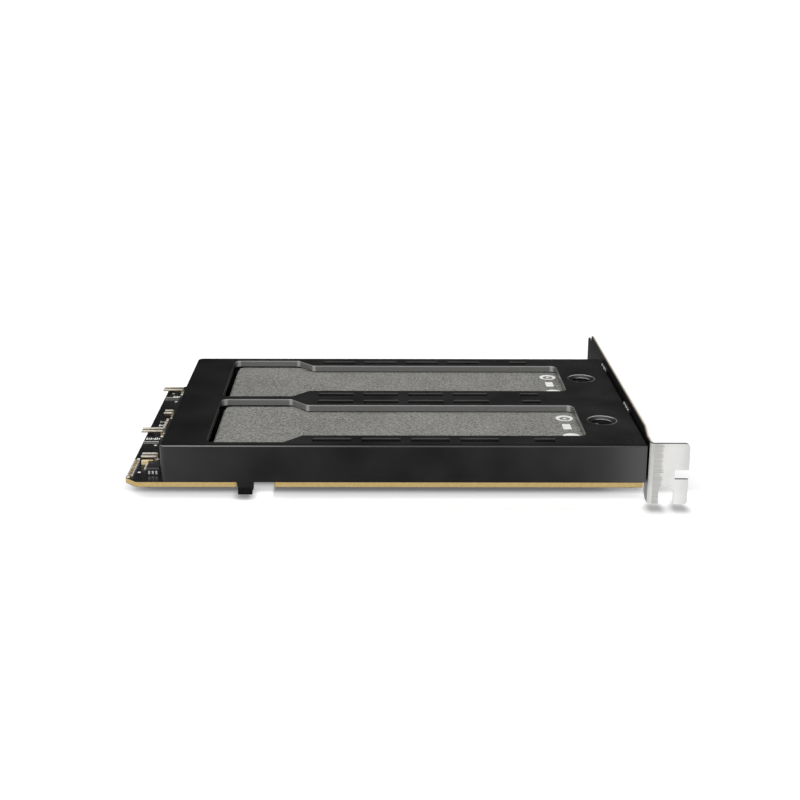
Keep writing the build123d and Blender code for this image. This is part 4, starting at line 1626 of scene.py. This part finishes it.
@dataclass
class StripParts:
    """Small parts on the open strip: capacitors by the cover, a fuse and the block's terminals."""

    palette: Palette
    capacitor_x: float = -147.9
    capacitor_rows: tuple[float, ...] = (48.9, 51.2, 53.5, 55.8)
    capacitor_width: float = 0.8
    capacitor_length: float = 1.6
    capacitor_height: float = 0.6
    body_bevel: float = 0.04
    cap: float = 0.32
    cap_proud: float = 0.02
    cap_bevel: float = 0.05
    fuse_low: Place = (-149.3, 16.62, 0.03)
    fuse_high: Place = (-145.9, 16.77, 1.25)
    fuse_foot: Place = (-147.2, 15.6, 1.22)
    fuse_overlap: float = 0.02
    terminal_width: float = 0.55
    terminal_pitch: float = 1.05
    terminal_count: int = 3
    terminal_low: float = 0.35
    terminal_high: float = 1.35
    terminal_proud: float = 0.05
    terminal_bevel: float = 0.02

    def build(self) -> None:
        """Builds the bodies, their tinned ends and the fuse."""
        bodies = Mesh("strip_capacitors")
        ends = Mesh("strip_capacitor_ends")
        right = self.capacitor_x + self.capacitor_width
        for row in self.capacitor_rows:
            back = row + self.capacitor_length
            top = (right, back, self.capacitor_height)
            bodies.block((self.capacitor_x, row, 0.0), top, self.body_bevel)
            for start in (row, back - self.cap):
                ends.block(
                    (self.capacitor_x - self.cap_proud, start - self.cap_proud, 0.0),
                    (right + self.cap_proud, start + self.cap + self.cap_proud, top[2] + self.cap_proud),
                    self.cap_bevel,
                )
        low, high = box_of("strip_block")
        reach = self.terminal_pitch * (self.terminal_count - 1) + self.terminal_width
        first = (low.x + high.x - reach) / 2
        for index in range(self.terminal_count):
            x = first + index * self.terminal_pitch
            ends.block(
                (x, low.y - self.terminal_proud, self.terminal_low),
                (x + self.terminal_width, low.y, self.terminal_high),
                self.terminal_bevel,
            )
        bodies.finish(Body.CARD, self.palette.get(CERAMIC))
        ends.finish(Body.CARD, self.palette.get(TIN))
        fuse = Mesh("strip_fuse")
        fuse.block(self.fuse_low, self.fuse_high, self.body_bevel)
        left, back, bottom = self.fuse_low
        right, front, top = self.fuse_foot
        fuse.block((left, front, bottom), (right, back + self.fuse_overlap, top), self.body_bevel)
        fuse.finish(Body.CARD, self.palette.get(FUSE))


@dataclass
class SpringFingers:
    """Bright domed fingers along each earthing spring, which press on the tray's bezel."""

    palette: Palette
    count: int = 4
    radius: float = 0.5
    reach: float = 0.2
    segments: int = 12

    def build(self, bay: Bay) -> bpy.types.Object:
        """Builds the fingers of one spring.

        Args:
            bay: The bay whose spring carries them.

        Returns:
            The fingers as one piece.
        """
        low, high = box_of(f"earthing_spring_{bay.value}")
        mesh = Mesh(f"spring_fingers_{bay.value}")
        pitch = (high.y - low.y) / self.count
        for index in range(self.count):
            centre = Vector((low.x, low.y + (index + 0.5) * pitch, (low.z + high.z) / 2))
            place = Matrix.Translation(centre) @ Matrix.Diagonal((self.reach, self.radius, self.radius, 1.0))
            bmesh.ops.create_uvsphere(
                mesh.bm, u_segments=self.segments, v_segments=self.segments // 2, radius=1.0, matrix=place
            )
        return mesh.finish(Body.CARD, self.palette.get(SPRING), smooth=True)


@dataclass
class SolderJoints:
    """Solder cones round the header pins, above and below the board."""

    palette: Palette
    headers: int = 4
    pad_radius: float = 0.95
    pin_half: float = 0.32
    pin_reach: float = 0.36
    height: float = 0.55
    upper_share: float = 0.6

    def build(self) -> bpy.types.Object:
        """Builds the joints of all four headers.

        Returns:
            The cones as one piece.
        """
        mesh = Mesh("header_joints")
        board_bottom = box_of("board")[0].z
        for number in range(1, self.headers + 1):
            low, high = box_of(f"header_pins_{number}")
            x = high.x - self.pin_half
            for y in (low.y + self.pin_half, high.y - self.pin_half):
                bottom = (x, y, board_bottom - self.height)
                mesh.cone(bottom, self.pin_reach, self.pad_radius, self.height)
                mesh.cone((x, y, 0.0), self.pad_radius, self.pin_reach, self.height * self.upper_share)
        return mesh.finish(Body.CARD, self.palette.get(TIN), smooth=True)


@dataclass
class StudioCamera:
    """The camera that sees the card as the photograph does, placed in millimetres and turned in radians."""

    place: Place = (-78.997, -367.080, 142.505)
    pitch: float = 0.27944
    yaw: float = 0.00533
    roll: float = 0.00312
    focal_pixels: float = 1363.54
    picture_pixels: float = 800.0
    middle_u: float = -15.81
    middle_v: float = -40.0
    sensor: float = 36.0
    clip: Span = (0.01, 50.0)

    def build(self) -> bpy.types.Object:
        """Builds the camera and makes it the scene's own.

        Returns:
            The camera.
        """
        data = bpy.data.cameras.new("studio_camera")
        data.sensor_width = self.sensor
        data.lens = self.focal_pixels * self.sensor / self.picture_pixels
        data.shift_x = -self.middle_u / self.picture_pixels
        data.shift_y = self.middle_v / self.picture_pixels
        data.clip_start, data.clip_end = self.clip
        forward = Vector(
            (
                math.sin(self.yaw) * math.cos(self.pitch),
                math.cos(self.yaw) * math.cos(self.pitch),
                -math.sin(self.pitch),
            )
        )
        level = Vector((math.cos(self.yaw), -math.sin(self.yaw), 0.0))
        upright = level.cross(forward)
        right = level * math.cos(self.roll) + upright * math.sin(self.roll)
        up = upright * math.cos(self.roll) - level * math.sin(self.roll)
        turn = Matrix((right, up, -forward)).transposed()
        camera = bpy.data.objects.new("studio_camera", data)
        bpy.context.scene.collection.objects.link(camera)
        camera.location = Vector(self.place) * MM
        camera.rotation_mode = "QUATERNION"
        camera.rotation_quaternion = turn.to_quaternion()
        bpy.context.scene.camera = camera
        return camera


@dataclass
class Studio:
    """The floor, the lamps and the world round the card, in metres and degrees."""

    floor_drop: float = 0.02 * MM
    floor_half: float = 30.0
    fill: float = 0.55
    sky_low: float = 0.02
    sky_high: float = 1.2
    sky_span: Span = (0.60, 0.98)
    key_strength: float = 1.6
    key_spread: float = 60.0
    key_tilt: float = 42.0
    key_roll: float = -14.0
    softbox_power: float = 0.55
    softbox_length: float = 0.5
    softbox_width: float = 0.12
    softbox_place: Place = (-0.17, -0.12, 0.42)
    softbox_tilt: float = -16.0

    def build_floor(self, lowest: float) -> None:
        """Lays the floor under the card.

        Args:
            lowest: The height of the card's lowest point.
        """
        bm = bmesh.new()
        bmesh.ops.create_grid(bm, x_segments=2, y_segments=2, size=self.floor_half)
        bmesh.ops.translate(bm, vec=(0.0, 0.0, lowest - self.floor_drop), verts=bm.verts)
        data = bpy.data.meshes.new("studio_floor")
        bm.to_mesh(data)
        bm.free()
        data.materials.append(StudioFloor().material())
        floor = bpy.data.objects.new("studio_floor", data)
        bpy.context.scene.collection.objects.link(floor)
        floor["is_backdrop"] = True

    def build_lamps(self) -> None:
        """Hangs the key sun and the overhead softbox."""
        key = bpy.data.lights.new("key_sun", "SUN")
        key.energy = self.key_strength
        key.angle = math.radians(self.key_spread)
        sun = bpy.data.objects.new("key_sun", key)
        sun.rotation_euler = (math.radians(self.key_tilt), math.radians(self.key_roll), 0.0)
        bpy.context.scene.collection.objects.link(sun)
        box = bpy.data.lights.new("softbox", "AREA")
        box.shape = "RECTANGLE"
        box.size = self.softbox_length
        box.size_y = self.softbox_width
        box.energy = self.softbox_power
        lamp = bpy.data.objects.new("softbox", box)
        lamp.location = self.softbox_place
        lamp.rotation_euler = (math.radians(self.softbox_tilt), 0.0, 0.0)
        bpy.context.scene.collection.objects.link(lamp)

    def build_world(self) -> None:
        """Makes the world white to the eye, softer as a light, and dark to gloss near the horizon."""
        world = bpy.data.worlds.new("studio_world")
        bpy.context.scene.world = world
        graph = Graph(world)
        _, _, height = graph.split(graph.wire("ShaderNodeTexCoord", None, None, "Generated"))
        seen = graph.light_path("Is Camera Ray").larger(graph.light_path("Is Transmission Ray"))
        mirrored = graph.light_path("Is Glossy Ray")
        sky = height.step(*self.sky_span) * (self.sky_high - self.sky_low) + self.sky_low
        indirect = mirrored * sky + (1.0 - mirrored) * self.fill
        strength = seen + (1.0 - seen) * indirect
        background = graph.wire("ShaderNodeBackground", None, {"Color": WHITE, "Strength": strength})
        graph.node("ShaderNodeOutputWorld", None, {"Surface": background})


def corners(bounds: Iterable[Vector]) -> list[list[float]]:
    """Turns a box's two corners into plain lists."""
    return [list(corner) for corner in bounds]


def main() -> None:
    """Builds the pieces in order."""
    logging.basicConfig(level=logging.INFO, format="%(name)s: %(message)s")
    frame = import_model()
    packed_box = corners(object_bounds())
    palette = Palette()
    StudioCamera().build()
    PackedNodes(palette).dress(frame["nodes"])
    for bay in Bay:
        TrayPrint(palette).build(bay)
        SpringFingers(palette).build(bay)
    BoardPrint(palette).build()
    StripParts(palette).build()
    TinnedEnds(palette).build("strip_part_ends", "strip_parts", STRIP_PART_COUNT, Row.ALONG_Y)
    TinnedEnds(palette).build("coupling_part_ends", "coupling_parts", COUPLING_PART_COUNT, Row.ALONG_X)
    SolderJoints(palette).build()
    studio = Studio()
    studio.build_floor(packed_box[0][2])
    studio.build_lamps()
    studio.build_world()
    scene = bpy.context.scene
    scene.view_settings.view_transform = "Standard"


if __name__ == "__main__":
    main()
